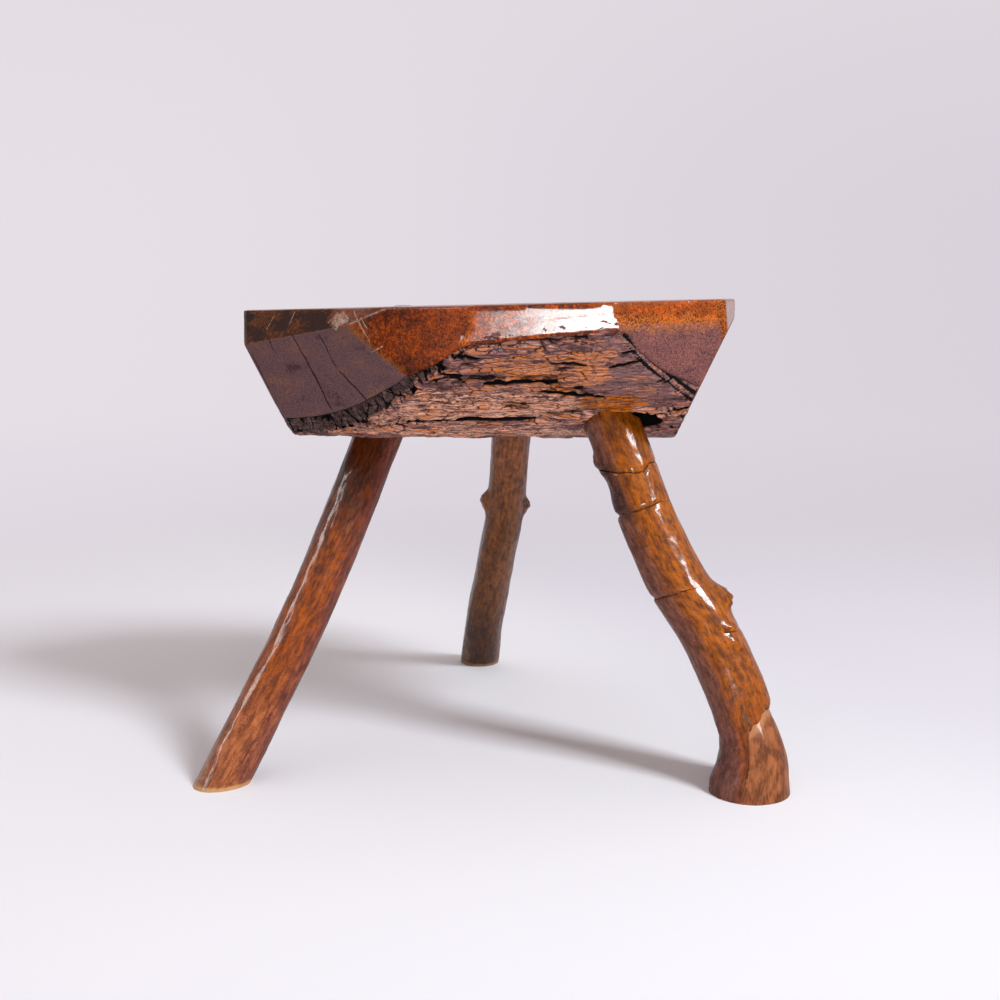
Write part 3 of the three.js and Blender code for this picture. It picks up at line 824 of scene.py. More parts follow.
PLATES = {
    "bark_front_left": Plate("front_upper", None, None, "front_left"),
    "bark_front_middle": Plate("front_upper", None, "front_left", "front_right"),
    "bark_front_right": Plate("front_upper", None, "front_right", None),
    "bark_left_rim": Plate("front_lower", "front_upper", None, "rim"),
    "bark_front_strip": Plate("front_lower", "front_upper", "rim", "corner"),
    "bark_right_corner": Plate("front_lower", "front_upper", "corner", None),
    "bark_lower_left": Plate("under_front", "front_lower", None, "lower_left"),
    "bark_lower_strip": Plate("under_front", "front_lower", "lower_left", "lower_right"),
    "bark_lower_right": Plate("under_front", "front_lower", "lower_right", None),
    "bark_under_left": Plate("under_rear", "under_front", None, "under_left", 1.5),
    "bark_under_middle": Plate("under_rear", "under_front", "under_left", "under_right", 1.5),
    "bark_under_right": Plate("under_rear", "under_front", "under_right", None, 1.5),
    "bark_rear_lower_left": Plate("rear_lower", "under_rear", None, "rear_lower", 1.5),
    "bark_rear_lower_right": Plate("rear_lower", "under_rear", "rear_lower", None, 1.5),
    "bark_rear_upper_left": Plate(None, "rear_lower", None, "rear_upper", 1.5),
    "bark_rear_upper_right": Plate(None, "rear_lower", "rear_upper", None, 1.5),
}


@dataclass
class Bark:
    """The bark left on the log, in plates."""

    inner: tuple[Patch, ...] = (Patch(34, 53, 33, 7), Patch(60, 57, 16, 4))
    fibre: tuple[Patch, ...] = (Patch(-2, 38, 62, 8.5), Patch(-15, 19, 90, 6), Patch(98, 34, 16, 4),
                                Patch(-66, 32, 14, 5), Patch(0, -20, 100, 14, 0.9))
    grey: tuple[Patch, ...] = (Patch(88, 54, 26, 12), Patch(-62, 40, 18, 5), Patch(0, -62, 120, 12, 0.9))
    gloss: tuple[Patch, ...] = (Patch(76, 39.5, 18, 4.4, 0.35),)
    chunks: tuple[Patch, ...] = (
        Patch(-30, 57, 25, 9),
        Patch(40, 67, 52, 5),
        Patch(-95, 30, 45, 14),
        Patch(112, 26, 20, 10),
        Patch(-40, -60, 60, 12),
    )
    gaps: tuple[Gap, ...] = (
        Gap(((-4, 48.4), (20, 49.4), (42, 49.6)), 1.3, 3.0),
        Gap(((28, 46), (48, 44.6), (70, 43)), 1.4, 3.0),
        Gap(((-68, 24), (-50, 28), (-30, 30), (38, 31.5)), 2.2, 5.0),
        Gap(((84, 31.5), (106, 34), (128, 38)), 1.5, 4.0),
        Gap(((34, 57), (60, 55.5)), 0.8, 1.8),
        Gap(((78, 60), (98, 62)), 0.8, 2.2),
        Gap(((70, 55), (92, 57.5)), 0.8, 2.2),
        Gap(((100, 50), (114, 49)), 0.7, 1.6),
        Gap(((4, 66), (34, 65), (60, 66.5)), 0.9, 2.2),
        Gap(((30, 70), (56, 70.5), (78, 69)), 0.7, 1.8),
        Gap(((-40, 40.5), (-8, 41.5)), 0.8, 2.0),
        Gap(((-30, 53), (-16, 52)), 1.2, 2.6),
        Gap(((-90, 17), (-20, 18.5), (50, 17.5)), 0.9, 2.4),
    )
    planes: tuple[tuple[Vector, float], ...] = field(default_factory=lambda: tuple(
        face.plane() for face, _ in FACES.values()))
    curl: Patch = Patch(63, 49, 5, 6, 0.3)
    curl_height: float = 0.9
    terraces: int = 4
    highest: float = 2.4
    lowest: float = -3.6
    edge_band: Pair = (-1.3, -0.5)
    skin: Pair = (3.2, 0.9)
    sides: Pair = (36.0, 64.0)
    crumbly: Pair = (60.0, 20.0)

    def relief(self, x: float, angle: float) -> float:
        """Height of the bark's face over the log's round, in millimetres.

        Args:
            x: place along the log, in millimetres.
            angle: place round it, in degrees.

        Returns:
            Height, with the long gaps cut in.
        """
        round_mm = angle * ROUND_STEP
        chunky = max(patch.share(x, angle) for patch in self.chunks)
        smooth = self.grey[0].share(x, angle)
        ridge = rough(x / 34, round_mm / 7, 1.0)
        step = rough(x / 26, round_mm / 5.5, 2.0, 1) + 0.3 * rough(x / 9, round_mm / 3, 2.0, 9)
        level = step * self.terraces
        terrace = (math.floor(level) + ease(0.7, 1.0, level % 1)) / self.terraces
        height = 0.7 * ridge + 1.7 * terrace
        chunk = 2.0 * self._block(x, round_mm) - 1.4 + 1.2 * rough(x / 8, round_mm / 6, 3.0, 2)
        height += chunky * chunk
        height += 0.6 * rough(x / 12, round_mm / 2.0, 5.0, 3) + 0.3 * rough(x / 4, round_mm / 1.6, 5.0, 10)
        height *= 1 - 0.65 * smooth
        height += self.curl_height * self.curl.share(x, angle)
        return height - max(gap.cut(x, angle) for gap in self.gaps)

    def _block(self, x: float, round_mm: float) -> float:
        """1 on a chunk of bark and 0 in the furrows between chunks."""
        along = x + 5 * rough(x / 8, round_mm / 6, 7.0)
        around = round_mm + 3 * rough(x / 9, round_mm / 5, 9.0)
        near, far = noise.voronoi(Vector((along / 15, around / 6.5, 0.5)))[0][:2]
        return ease(0.02, 0.16, far - near)

    def _closing(self, plate: Plate, x: float, angle: float) -> tuple[float, float]:
        """Shifts along and round the log, in millimetres, that close a plate's seams in places."""
        loose = 0.5 * rough(x / 18, angle / 7, 3.0, 8)
        shifts = []
        for cracks, names, most, least in ((SPLITS, (plate.left, plate.right), 0.86, -0.6),
                                           (SEAMS, (plate.lower, plate.upper), 0.84, -0.5)):
            shift = 0.0
            for name, way in zip(names, (-1, 1)):
                if name:
                    pull = ease(5.0, 0.8, way * cracks[name].aside(x, angle))
                    shift += way * most * pull * (1 - min(1.0, max(least, cracks[name].gape + loose)))
            shifts.append(shift)
        return tuple(shifts)

    def dress(self, node: bpy.types.Object, material: bpy.types.Material) -> None:
        """Makes the finished piece for one bark plate."""
        plate = PLATES[node.name]
        edit, mesh = refined(node, plate.voxel, 1)
        tones = edit.verts.layers.float_vector.new("tones")
        store = edit.verts.layers.float_vector.new("relief")
        for vert in edit.verts:
            point = vert.co / MM
            x = point.x
            angle, reach = LOG.polar(point)
            past = [(point.dot(out) - offset, out) for out, offset in self.planes]
            cut, out = max(past, key=lambda pair: pair[0])
            hewn = ease(*self.edge_band, cut)
            outer = ease(LOG.radius - self.skin[0], LOG.radius - self.skin[1], reach)
            thin = ease(*self.sides, abs(angle))
            height = min(max(self.relief(x, angle), self.lowest + 2.1 * thin), self.highest - 0.9 * thin)
            sway = 2.2 * rough(x / 14, angle / 9, 6.0, 4) + 0.8 * rough(x / 4, angle / 3, 6.0, 5)
            slide = 2.6 * rough(x / 15, angle / 6, 8.0, 6) + 1.2 * rough(x / 4.5, angle / 2.5, 8.0, 7)
            along, around = self._closing(plate, x, angle)
            free = 0.5 * outer * (1 - hewn)
            moved = point + LOG.outward(angle) * (height * outer)
            moved += LOG.onward(angle) * (around + sway * free)
            moved.x += along + slide * free
            crumbled = ease(*self.crumbly, x) * 0.8 + 0.2
            depth = 2.6 * (1 - self._block(reach * 1.3, x + angle * 2))
            depth += rough(x / 4, angle, reach / 4, 11)
            moved -= out * (hewn * crumbled * max(0.1, depth + 0.4))
            vert.co = moved * MM
            *coats, gloss = (max(patch.share(x, angle) for patch in patches)
                             for patches in (self.inner, self.fibre, self.grey, self.gloss))
            vert[tones] = coats
            # Depth stored for the finish, which paints sunken places, the plates' inner sides and crumbled
            # hollows near black as shade.
            sunk = height * outer - 3.0 * (1 - outer) * (1 - hewn) - hewn * max(0.0, depth)
            vert[store] = (sunk, gloss, hewn * (1 - outer) * crumbled)
        finish(edit, mesh, f"fine_{node.name}", material, "seat_bark", node.name)


@dataclass
class Slab:
    """The hewn half log that is sat on, its front face worn down to the bark under it."""

    voxel: float = 1.5
    tool_marks: float = 0.04
    tool_length: float = 22.0
    rounded: Pair = (-0.62, -0.12)
    worn_gap: float = 5.0
    worn_from: Pair = (-45.0, -30.0)

    def dress(self, node: bpy.types.Object, material: bpy.types.Material) -> None:
        """Makes the finished piece for the slab."""
        edit, mesh = refined(node, self.voxel, 2)
        edit.normal_update()
        front, offset = FACES["front"][0].plane()
        steepest, level = self.rounded
        for vert in edit.verts:
            point = vert.co / MM
            gap = offset - point.dot(front)
            if steepest < vert.normal.z < level and vert.normal.dot(front) > 0.6 and gap < self.worn_gap:
                worn = ease(level, -0.25, vert.normal.z) * ease(*self.worn_from, point.x)
                vert.co += front * (gap * worn * ease(self.worn_gap, 3.2, gap) * MM)
            place = point / self.tool_length
            mark = rough(place.x, place.y, place.z / 1.4)
            mark += 0.5 * rough(place.x / 0.4, place.y / 0.4, place.z / 0.5, 2)
            vert.co += vert.normal * (self.tool_marks * mark * MM)
        finish(edit, mesh, f"fine_{node.name}", material, "seat_wood", node.name)


@dataclass(frozen=True)
class Knot:
    """A bump on a branch: height up it, side in degrees (0 right, 90 front), reach and half sizes."""

    up: float
    side: float
    reach: float
    half_round: float
    half_up: float
    skew: float = 0.0

    def rise(self, height: float, side: float, radius: float) -> float:
        """How far the bark stands out at a place, in millimetres."""
        turn = (side - self.side + 180) % 360 - 180
        across = math.radians(turn) * radius / self.half_round
        along = (height - self.up) / self.half_up
        along *= 1 + self.skew if along > 0 else 1 - self.skew
        wrinkle = 1 + 0.3 * rough(across * 1.5, along * 2.5, self.up)
        return self.reach * wrinkle * math.exp(-(across * across + along * along) ** 1.3)


@dataclass(frozen=True)
class Branch:
    """A leg's middle line and girth, by the sizes that the solids have, in millimetres."""

    foot: Pair
    head: Pair
    tenon: Pair
    bends: tuple[tuple[float, float, float], ...]
    girths: tuple[Pair, ...]
    knots: tuple[Knot, ...] = ()
    head_height: float = 203.0
    bark: float = 2.2
    run_under: float = 0.6
    run_over: float = 0.15

    def line(self) -> list[Vector]:
        """Points of the middle line, run on below the floor and above the seat."""
        start = Vector((*self.foot, 0))
        end = Vector((self.head[0], LOG.axis_y + self.head[1] * LOG.radius, self.head_height))
        bent = [start.lerp(end, up) + Vector((dx, dy, 0)) for up, dx, dy in self.bends]
        over = Vector((self.tenon[0], LOG.axis_y + self.tenon[1] * LOG.radius, LOG.top))
        points = [start, *bent, end, over]
        return [start.lerp(points[1], -self.run_under), *points, over.lerp(end, -self.run_over)]

    def centre(self, height: float) -> Vector:
        """Point of the middle line at a height, on a smooth curve."""
        points = self.line()
        last = len(points) - 2
        index = next((i for i in range(last) if height <= points[i + 1].z), last)
        here, there = points[index], points[index + 1]
        before = points[max(index - 1, 0)]
        after = points[min(index + 2, len(points) - 1)]
        span = there.z - here.z
        share = (height - here.z) / span
        leave = (there - before) * (span / (there.z - before.z))
        arrive = (after - here) * (span / (after.z - here.z))
        cube, square = share ** 3, share ** 2
        point = here * (2 * cube - 3 * square + 1) + leave * (cube - 2 * square + share)
        point += there * (3 * square - 2 * cube) + arrive * (cube - square)
        point.z = height
        return point

    def axes(self, height: float) -> tuple[Vector, Vector]:
        """Directions to the right and to the front across the branch at a height."""
        along = (self.centre(height + 1) - self.centre(height - 1)).normalized()
        right = Vector((1, 0, 0))
        right = (right - along * right.dot(along)).normalized()
        return right, right.cross(along)

    def radius(self, height: float) -> float:
        """Radius with the bark on at a height."""
        return between(self.girths, height / self.head_height)

    def stored(self, point: Vector) -> Vector:
        """A point in the branch's own straightened coordinates."""
        right, front = self.axes(point.z)
        off = point - self.centre(point.z)
        return Vector((off.dot(right), off.dot(front), point.z))


@dataclass(frozen=True)
class Edge:
    """An edge of a leg's bark, by side in degrees (0 right, 90 front): its height, and where it gapes."""

    heights: tuple[Pair, ...]
    gapes: tuple[Pair, ...] = ((0, 1.0),)
    ragged: float = 0.7

    def at(self, side: float) -> float:
        """Height of the edge on one side of the branch."""
        turn = math.radians(side)
        across, fore = math.cos(turn), math.sin(turn)
        height = between(self.heights, side)
        height += self.ragged * rough(across * 2.4, fore * 2.4, self.heights[0][1])
        return max(0.0, height + 0.8 * self.ragged * rough(across * 8, fore * 8, self.heights[0][1], 1))

    def gape(self, side: float) -> float:
        """How far the edge gapes on one side, from 0 to 1."""
        return between(self.gapes, side)


@dataclass
class Leg:
    """One branch leg: its peeled core, its wedge and its bark."""

    name: str
    branch: Branch
    finish: LegBark
    bare: BareWood
    edges: tuple[Edge, ...] = (Edge(((0, 0.0),), ((0, 0.0),), 0.0),)
    crack: float = 0.9
    lumps: float = 0.5
    columns: int = 120
    inner_rows: int = 6
    cell: float = 1.2
    lip: float = 0.2
    roll: float = 0.9
    roll_height: float = 1.8
    seated: float = 6.0
    seat_search: Pair = (195.0, 270.0)
    halvings: int = 12
    foot_swell: float = 0.0
    swell_band: Pair = (54.0, 30.0)
    foot_top: float = 70.0
    neck: float = 12.0
    fibre_depth: float = 0.25
    wedge_bevel: float = 0.25

    def surface(self, height: float, side: float) -> float:
        """Radius of the bark's face with its lumps and knots."""
        radius = self.branch.radius(height)
        turn = math.radians(side)
        across, fore = math.cos(turn) * 2, math.sin(turn) * 2
        lump = rough(across, fore, height / 24) + 0.5 * rough(across * 2.4, fore * 2.4, height / 9, 3)
        lump += 0.22 * rough(across * 5, fore * 5, height / 3.5, 4)
        knot = sum(knot.rise(height, side, radius) for knot in self.branch.knots)
        return radius + self.lumps * lump + knot

    def place(self, height: float, side: float, radius: float) -> Vector:
        """Point at a height above the floor, on one side and at a radius from the middle line."""
        turn = math.radians(side)
        along = height
        for _ in range(3):
            right, front = self.branch.axes(along)
            reach = (right * math.cos(turn) + front * math.sin(turn)) * radius
            along = height - reach.z
        point = self.branch.centre(along) + reach
        point.z = height
        return point

    def under_seat(self, side: float) -> float:
        """Height at which the bark meets the seat's wood, a little inside its hole."""
        low, high = self.seat_search
        for _ in range(self.halvings):
            middle = (low + high) / 2
            point = self.place(middle, side, self.branch.radius(middle))
            inside = LOG.polar(point)[1] < LOG.radius - self.seated
            low, high = (low, middle) if inside else (middle, high)
        return low

    def sleeve(self, below: Edge, above: Edge | None) -> bmesh.types.BMesh:
        """A tube of bark between two edges, open inside for the wood.

        Args:
            below: lower edge.
            above: upper edge, or None where the bark runs up into the seat.

        Returns:
            The closed mesh, with the branch's coordinates stored on it.
        """
        span = (above.at(90) if above else self.under_seat(90)) - below.at(200)
        rows = max(12, round(span / self.cell))
        total = rows + self.inner_rows + 2
        edit = bmesh.new()
        bmesh.ops.create_grid(edit, x_segments=self.columns, y_segments=total, size=0.5)
        store = edit.verts.layers.float_vector.new("branch")
        tops = {}
        for vert in edit.verts:
            side = 360 * (vert.co.x + 0.5) % 360
            row = round((vert.co.y + 0.5) * total) % total
            if side not in tops:
                tops[side] = above.at(side) if above else self.under_seat(side)
            gape_low = below.gape(side)
            gape_high = above.gape(side) if above else 0.0
            low = below.at(side) + gape_low * self.crack / 2
            high = tops[side] - gape_high * self.crack / 2
            if row > rows:
                height = high - (high - low) * (row - rows - 1) / self.inner_rows
                radius = self.branch.radius(height) - self.branch.bark
            else:
                ends = {1: low + self.lip, rows - 1: high - self.lip}
                height = ends.get(row, low + (high - low) * row / rows)
                radius = self.surface(height, side)
                radius -= self.roll * gape_low * ease(self.roll_height, 0.0, height - low)
                radius -= self.roll * gape_high * ease(self.roll_height, 0.0, high - height)
            turn = math.radians(side)
            vert[store] = (radius * math.cos(turn), radius * math.sin(turn), height)
            vert.co = self.place(height, side, radius) * MM
        bmesh.ops.remove_doubles(edit, verts=edit.verts, dist=WELD * MM)
        bmesh.ops.recalc_face_normals(edit, faces=edit.faces)
        return edit

    def core(self, node: bpy.types.Object) -> None:
        """Makes the finished piece for the peeled branch."""
        edit, mesh = refined(node, self.cell, 2)
        store = edit.verts.layers.float_vector.new("branch")
        bared = edit.verts.layers.float_vector.new("bared")
        edit.normal_update()
        for vert in edit.verts:
            point = vert.co / MM
            own = self.branch.stored(point)
            side = math.degrees(math.atan2(own.y, own.x)) % 360
            reach = math.hypot(own.x, own.y)
            below = self.edges[0].at(side) - point.z if point.z < self.foot_top else -9.0
            bare = ease(-2.0, 1.0, below)
            radius = self.branch.radius(point.z)
            wood = radius - self.branch.bark - 0.3
            wanted = wood + bare * self.foot_swell * ease(*self.swell_band, point.z)
            full = wanted if point.z < LOG.axis_z - LOG.radius - self.neck else reach
            scale = 1 + (full / max(reach, 1.0) - 1) * ease(0.72, 0.9, reach / wood)
            right, front = self.branch.axes(point.z)
            moved = point + (right * own.x + front * own.y) * (scale - 1)
            fibre = rough(own.x / 1.6, own.y / 1.6, point.z / 22)
            fibre += 0.8 * rough(own.x / 5, own.y / 5, point.z / 12, 2)
            moved += vert.normal * (self.fibre_depth * fibre)
            moved.z = max(point.z if point.z < 3 else moved.z, 0.0)
            vert[store] = Vector((own.x * scale, own.y * scale, point.z))
            vert[bared] = (below, 0.0, 0.0)
            vert.co = moved * MM
        finish(edit, mesh, f"fine_{node.name}", self.bare.material(), "leg_wood", node.name)

    def wedge(self, node: bpy.types.Object) -> None:
        """Makes the finished piece for the wedge, with its edges taken off."""
        mesh = node.data.copy()
        edit = bmesh.new()
        edit.from_mesh(mesh)
        bmesh.ops.remove_doubles(edit, verts=edit.verts, dist=WELD * MM)
        bmesh.ops.dissolve_limit(edit, angle_limit=math.radians(2), verts=edit.verts, edges=edit.edges)
        bmesh.ops.bevel(edit, geom=edit.edges, offset=self.wedge_bevel * MM, affect="EDGES", segments=2,
                        profile=0.5, material=-1, clamp_overlap=True)
        bmesh.ops.triangulate(edit, faces=edit.faces)
        store = edit.verts.layers.float_vector.new("branch")
        for vert in edit.verts:
            vert[store] = self.branch.stored(vert.co / MM)
        finish(edit, mesh, f"fine_{node.name}", WEDGE.material(), "wedge_wood", node.name)

    def dress(self, nodes: dict[str, bpy.types.Object]) -> None:
        """Makes every finished piece of this leg."""
        self.core(nodes[f"leg_{self.name}_core"])
        self.wedge(nodes[f"wedge_{self.name}"])
        material = self.finish.material()
        several = len(self.edges) > 1
        for index, edge in enumerate(self.edges):
            above = self.edges[index + 1] if index + 1 < len(self.edges) else None
            name = f"leg_{self.name}_bark" + f"_{index + 1}" * several
            edit, mesh = self.sleeve(edge, above), bpy.data.meshes.new(name)
            finish(edit, mesh, f"fine_{name}", material, "leg_bark", name)


WEDGE = BareWood("wedge wood", tone(186, 140, 92), tone(120, 80, 48))

LEGS = (
    Leg(
        "left",
        Branch(
            foot=(-168, -142),
            head=(-79, 0.13),
            tenon=(-44, 0.55),
            bends=((0.216, 2.8, -0.6), (0.567, 4.8, -0.2)),
            girths=((0, 15.6), (0.3, 15.4), (0.64, 15.7), (1, 16.1)),
            knots=(Knot(66, 20, 0.9, 6, 5),),
        ),
        LegBark(
            "left leg bark",
            high=(tone(42, 18, 8), tone(108, 48, 10)),
            middle=(tone(88, 36, 10), tone(168, 80, 10)),
            low=(tone(101, 48, 28), tone(182, 104, 58)),
            specks=tone(44, 20, 14),
            flank_and_sheen=(tone(88, 42, 36), tone(146, 80, 64)),
            flank_and_sheen_band=(7.0, 14.0),
            blisters=0.35,
            blotches=0.15,
            chafed=0.7,
        ),
        BareWood("left leg wood", tone(196, 144, 96), tone(140, 92, 56)),
    ),
    Leg(
        "right",
        Branch(
            foot=(160, -156),
            head=(85, -0.39),
            tenon=(51, -0.15),
            bends=((0.103, 9.8, -0.1), (0.261, 14.6, -0.4), (0.453, 12, 0.3), (0.606, 4.4, 1.2),
                   (0.754, 0.5, 0.5)),
            girths=((0, 25), (0.04, 23.5), (0.108, 21.4), (0.167, 19.6), (0.22, 18.4), (0.49, 18.7),
                    (0.59, 19.2), (0.69, 18.3), (0.86, 17.8), (1, 17.7)),
            knots=(Knot(118, 12, 5.2, 7, 6.5, 0.15), Knot(8, 188, 0.8, 12, 5), Knot(28, 188, -2.4, 14, 9),
                   Knot(196, 178, 2.2, 9, 6), Knot(182, 186, -1.6, 10, 7), Knot(100, 48, 1.8, 6, 3),
                   Knot(92, 62, 1.2, 5, 4)),
        ),
        LegBark(
            "right leg bark",
            high=(tone(92, 40, 2), tone(184, 96, 2)),
            middle=(tone(92, 40, 2), tone(184, 96, 4)),
            low=(tone(76, 32, 8), tone(160, 74, 8)),
            specks=tone(42, 20, 12),
            flank_and_sheen=(tone(80, 46, 42), tone(138, 91, 80)),
            flank_and_sheen_band=(-6.0, -15.0),
            blisters=0.4,
            near_black_band=(160.0, 202.0),
        ),
        BareWood("right leg wood", tone(164, 98, 58), tone(98, 50, 26), tone(190, 130, 88)),
        edges=(
            Edge(((0, 54), (45, 52), (75, 46), (97, 41), (102, 37), (110, 0), (296, 0), (320, 50),
                  (360, 54)), ((0, 0.5),), 1.4),
            Edge(((0, 97.5), (180, 96), (360, 97.5)),
                 ((0, 0.2), (20, 0.6), (60, 0.6), (75, 0.0), (350, 0.0))),
            Edge(((0, 126.5), (90, 123), (140, 117), (180, 113), (270, 118), (360, 126.5)),
                 ((0, 0.0), (70, 0.0), (92, 0.5), (115, 1.2), (200, 1.2), (235, 0.2), (360, 0.0))),
            Edge(((0, 175.7), (60, 175), (90, 172.4), (140, 167), (180, 163.4), (270, 168), (360, 175.7)),
                 ((0, 0.2), (50, 0.2), (70, 0.8), (140, 1.2), (190, 2.2), (230, 1.2), (260, 0.2),
                  (360, 0.2))),
            Edge(((0, 199), (50, 198), (70, 194), (90, 193), (180, 193), (270, 194), (360, 199)),
                 ((0, 0.6), (40, 0.6), (60, 0.8), (160, 1.2), (230, 0.6), (260, 0.1), (360, 0.4))),
        ),
        foot_swell=2.3,
    ),
    Leg(
        "rear",
        Branch(
            foot=(-11, 156),
            head=(14.4, 0.75),
            tenon=(19, 0.365),
            bends=((0.222, -0.6, -2), (0.488, 1.6, -4.5), (0.7, 3.2, -4.7)),
            girths=((0, 15.8), (0.22, 15), (0.44, 14.5), (0.74, 14.2), (1, 14.2)),
            knots=(Knot(152, 178, 4.8, 4.5, 7, 0.3), Knot(147, 2, 4.0, 4.5, 6, 0.2)),
        ),
        LegBark(
            "rear leg bark",
            high=(tone(78, 42, 22), tone(164, 100, 60)),
            middle=(tone(68, 36, 20), tone(140, 85, 47)),
            low=(tone(35, 20, 12), tone(86, 50, 29)),
            specks=tone(34, 20, 16),
            flank_and_sheen=(tone(84, 50, 44), tone(132, 88, 76)),
            flank_and_sheen_band=(8.0, 15.0),
            chafed=0.35,
        ),
        BareWood("rear leg wood", tone(150, 104, 74), tone(96, 62, 44)),
    ),
)


def refined(node: bpy.types.Object, voxel: float, passes: int) -> tuple[bmesh.types.BMesh, bpy.types.Mesh]:
    """Even, smoothed copy of a CAD node's shape.

    Args:
        node: the CAD object, which is left as it is.
        voxel: size of the mesh's cells, in millimetres.
        passes: how often the copy is smoothed.

    Returns:
        The copy, and a mesh to write it to.
    """
    rough_mesh = node.data.copy()
    edit = bmesh.new()
    edit.from_mesh(rough_mesh)
    bmesh.ops.remove_doubles(edit, verts=edit.verts, dist=FINE_WELD * MM)
    edit.to_mesh(rough_mesh)
    edit.free()
    holder = bpy.data.objects.new("holder", rough_mesh)
    bpy.context.scene.collection.objects.link(holder)
    modifier = holder.modifiers.new("even", "REMESH")
    modifier.mode = "VOXEL"
    modifier.voxel_size = voxel * MM
    bpy.context.view_layer.update()
    solved = holder.evaluated_get(bpy.context.evaluated_depsgraph_get())
    mesh = bpy.data.meshes.new_from_object(solved)
    bpy.data.objects.remove(holder)
    bpy.data.meshes.remove(rough_mesh)
    edit = bmesh.new()
    edit.from_mesh(mesh)
    for _ in range(passes):
        bmesh.ops.smooth_vert(edit, verts=edit.verts, factor=0.5, use_axis_x=True, use_axis_y=True,
                              use_axis_z=True)
    return edit, mesh


def finish(edit: bmesh.types.BMesh, mesh: bpy.types.Mesh, name: str, material: bpy.types.Material,
           slot: str, *stands_for: str) -> None:
    """Turns a bmesh into a piece of the stool.

    Args:
        edit: the shape, which is freed.
        mesh: where it is written.
        name: name of the new object.
        material: its finish.
        slot: the record's material slot; not used.
        stands_for: CAD nodes that it replaces.
    """
    for face in edit.faces:
        face.smooth = True
    edit.to_mesh(mesh)
    edit.free()
    mesh.materials.clear()
    mesh.materials.append(material)
    piece = bpy.data.objects.new(name, mesh)
    bpy.context.scene.collection.objects.link(piece)
    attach(piece, "root")
    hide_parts(*stands_for)
    log.info("%s: %d vertices", name, len(mesh.vertices))


@dataclass
class Lamp:
    """A soft light that looks at a point, in metres and watts."""

    name: str
    at: tuple[float, float, float]
    size: tuple[float, float]
    power: float
    aim: tuple[float, float, float] = (0.0, -0.05, 0.2)
    colour: Colour = (1.0, 1.0, 1.0)
    mirrored_only: bool = False

    def build(self) -> None:
        """Adds the light, seen in reflections but not by the camera."""
        data = bpy.data.lights.new(self.name, "AREA")
        data.shape = "RECTANGLE"
        data.size, data.size_y = self.size
        data.energy = self.power
        data.color = self.colour
        lamp = bpy.data.objects.new(self.name, data)
        lamp.location = self.at
        lamp.rotation_euler = (Vector(self.aim) - Vector(self.at)).to_track_quat("-Z", "Y").to_euler()
        lamp.visible_camera = False
        lamp.visible_diffuse = not self.mirrored_only
        bpy.context.scene.collection.objects.link(lamp)


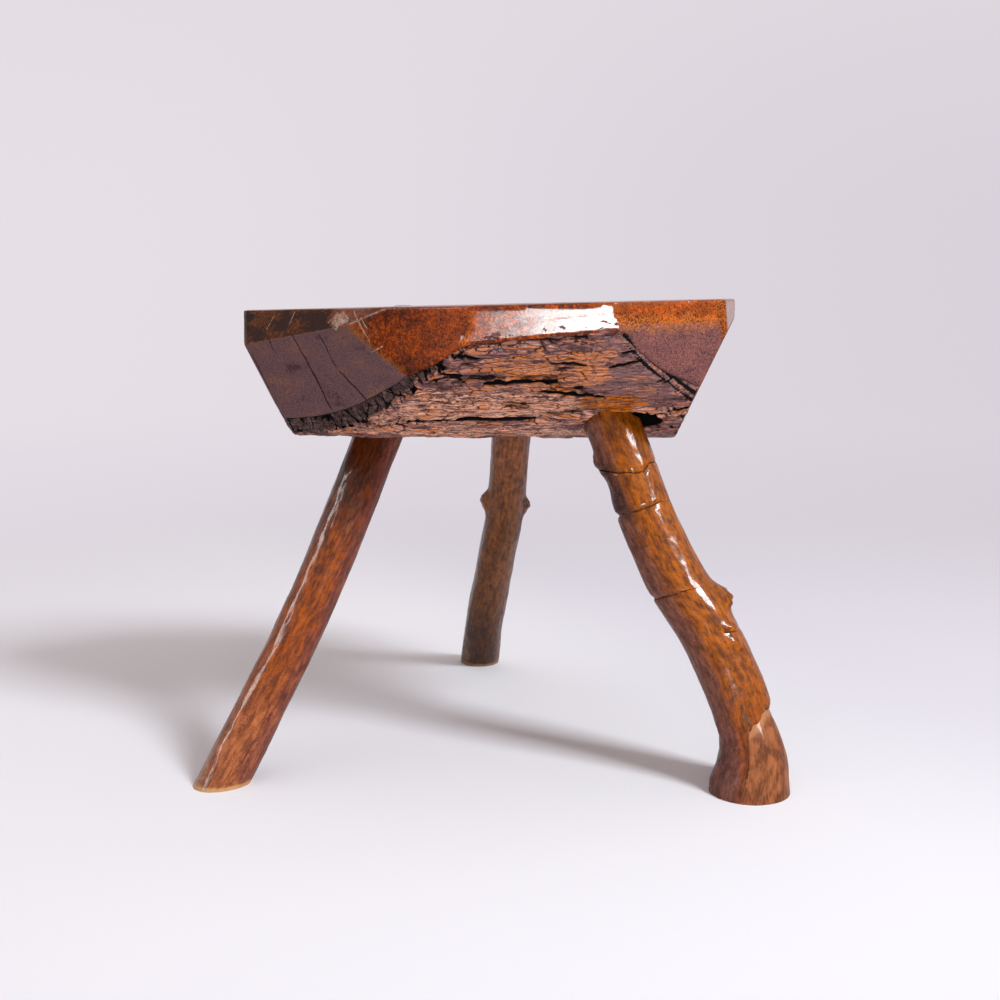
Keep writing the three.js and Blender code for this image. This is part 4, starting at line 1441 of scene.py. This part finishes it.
@dataclass
class Studio:
    """Camera, pale floor and backdrop, and lights."""

    camera_at: tuple[float, float, float] = (0.0062, -0.9794, 0.3)
    camera_drop: float = 8.194
    lens: float = 50.0
    sensor: float = 36.0
    lamps: tuple[Lamp, ...] = (
        Lamp("key", (2.30, -1.84, 2.61), (0.85, 1.02), 122.0, colour=(0.87, 0.93, 1.0)),
        Lamp("key shine", (2.28, -1.83, 2.59), (0.8, 0.96), 127.0, mirrored_only=True),
        Lamp("front", (0.09, -1.75, 0.115), (0.22, 0.2), 9.5, (0.05, -0.158, 0.29)),
        Lamp("front shine", (0.06, -1.74, 0.115), (0.24, 0.19), 9.5, (0.05, -0.158, 0.29),
             mirrored_only=True),
        Lamp("left strip", (-1.178, -0.339, 1.008), (0.4, 0.62), 15.0, (-0.123, -0.089, 0.103),
             mirrored_only=True),
    )
    floor_reach: float = 3.0
    floor_sides: int = 96
    bend: float = 0.8
    bend_steps: int = 12
    wall: float = 3.0
    fill: float = 0.98

    def camera(self) -> None:
        """Adds the camera at the photograph's place."""
        data = bpy.data.cameras.new("camera")
        data.lens = self.lens
        data.sensor_width = self.sensor
        camera = bpy.data.objects.new("camera", data)
        camera.location = self.camera_at
        camera.rotation_euler = (math.radians(90 - self.camera_drop), 0, 0)
        bpy.context.scene.collection.objects.link(camera)
        bpy.context.scene.camera = camera

    def sweep(self) -> None:
        """Adds the floor, which bends up into the backdrop on all sides."""
        edit = bmesh.new()
        bmesh.ops.create_circle(edit, cap_ends=True, radius=self.floor_reach, segments=self.floor_sides)
        edges = [e for e in edit.edges if e.is_boundary]
        for step in range(self.bend_steps):
            turned = bmesh.ops.extrude_edge_only(edit, edges=edges)["geom"]
            verts = [g for g in turned if isinstance(g, bmesh.types.BMVert)]
            edges = [g for g in turned if isinstance(g, bmesh.types.BMEdge)]
            angle = math.pi / 2 * (step + 1) / self.bend_steps
            before = math.pi / 2 * step / self.bend_steps
            rise = self.bend * (math.cos(before) - math.cos(angle))
            reach = self.floor_reach + self.bend * math.sin(before)
            grown = self.floor_reach + self.bend * math.sin(angle)
            bmesh.ops.scale(edit, verts=verts, vec=(grown / reach, grown / reach, 1))
            bmesh.ops.translate(edit, verts=verts, vec=(0, 0, rise))
        turned = bmesh.ops.extrude_edge_only(edit, edges=edges)["geom"]
        verts = [g for g in turned if isinstance(g, bmesh.types.BMVert)]
        bmesh.ops.translate(edit, verts=verts, vec=(0, 0, self.wall))
        bmesh.ops.triangulate(edit, faces=[f for f in edit.faces if len(f.verts) > 4])
        mesh = bpy.data.meshes.new("sweep")
        for face in edit.faces:
            face.smooth = True
        edit.to_mesh(mesh)
        edit.free()
        mesh.materials.append(self.paper())
        floor = bpy.data.objects.new("sweep", mesh)
        bpy.context.scene.collection.objects.link(floor)

    def paper(self) -> bpy.types.Material:
        """Pale paper, which takes the shadow near the stool and far from it shows a glow in place of lit
        paper, painted lighter to the left than to the right.
        """
        s = Shader("backdrop paper")
        x, y, z = s.place()
        reach = (x * x + y * y).root()
        # Painted backdrop light: the glow's tone is lighter to the left and darker to the right, evening
        # out higher up, standing in for how the lamps light the paper.
        wall = s.mix(tone(230, 223, 230), tone(217, 210, 218), x.eased(-1400, 1600))
        low = s.mix(tone(225, 218, 226), tone(214, 207, 216), x.eased(-1100, 1100))
        wall = s.mix(low, wall, reach.eased(900, 2800))
        tint = s.mix(wall, tone(226, 219, 226), z.eased(500, 1900))
        far = reach.eased(250, 1250)
        kinds = ("Is Camera Ray", "Is Glossy Ray", "Is Transmission Ray")
        rays = [s.node("ShaderNodeLightPath", output=kind) for kind in kinds]
        seen = rays[0].larger(rays[1]).larger(rays[2])
        # Painted shade: the near floor darkens towards the right and back, standing in for the lamps'
        # falloff.
        near = s.mix(tone(245, 244, 246), tone(229, 226, 232), (x + y * 0.6).eased(50, 450))
        s.finish(s.mix(near, tone(70, 66, 68), reach.eased(1350, 2400)), 0.9, 0.0)
        glow = s.node("ShaderNodeEmission", None, {"Color": tint, "Strength": 1.0})
        s.cover(glow, far * seen)
        return s.material

    def world(self) -> None:
        """Fills the shadows with an even pale light."""
        world = bpy.data.worlds.new("room")
        world.use_nodes = True
        background = world.node_tree.nodes["Background"]
        background.inputs["Color"].default_value = (1.0, 0.9, 0.9, 1.0)
        background.inputs["Strength"].default_value = self.fill
        bpy.context.scene.world = world

    def build(self) -> None:
        """Sets up the whole studio."""
        self.camera()
        self.world()
        for lamp in self.lamps:
            lamp.build()
        self.sweep()
        bpy.context.scene.view_settings.view_transform = "Standard"


def main() -> None:
    """Builds the studio and the stool's pieces in order."""
    logging.basicConfig(level=logging.INFO, format="%(message)s")
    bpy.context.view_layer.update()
    Studio().build()
    nodes = frame["nodes"]
    Slab().dress(nodes["seat_slab"], SeatWood().material())
    bark = Bark()
    bark_finish = SeatBark().material()
    for name in sorted(nodes):
        if name.startswith("bark_"):
            bark.dress(nodes[name], bark_finish)
    for leg in LEGS:
        leg.dress(nodes)


if __name__ == "__main__":
    main()
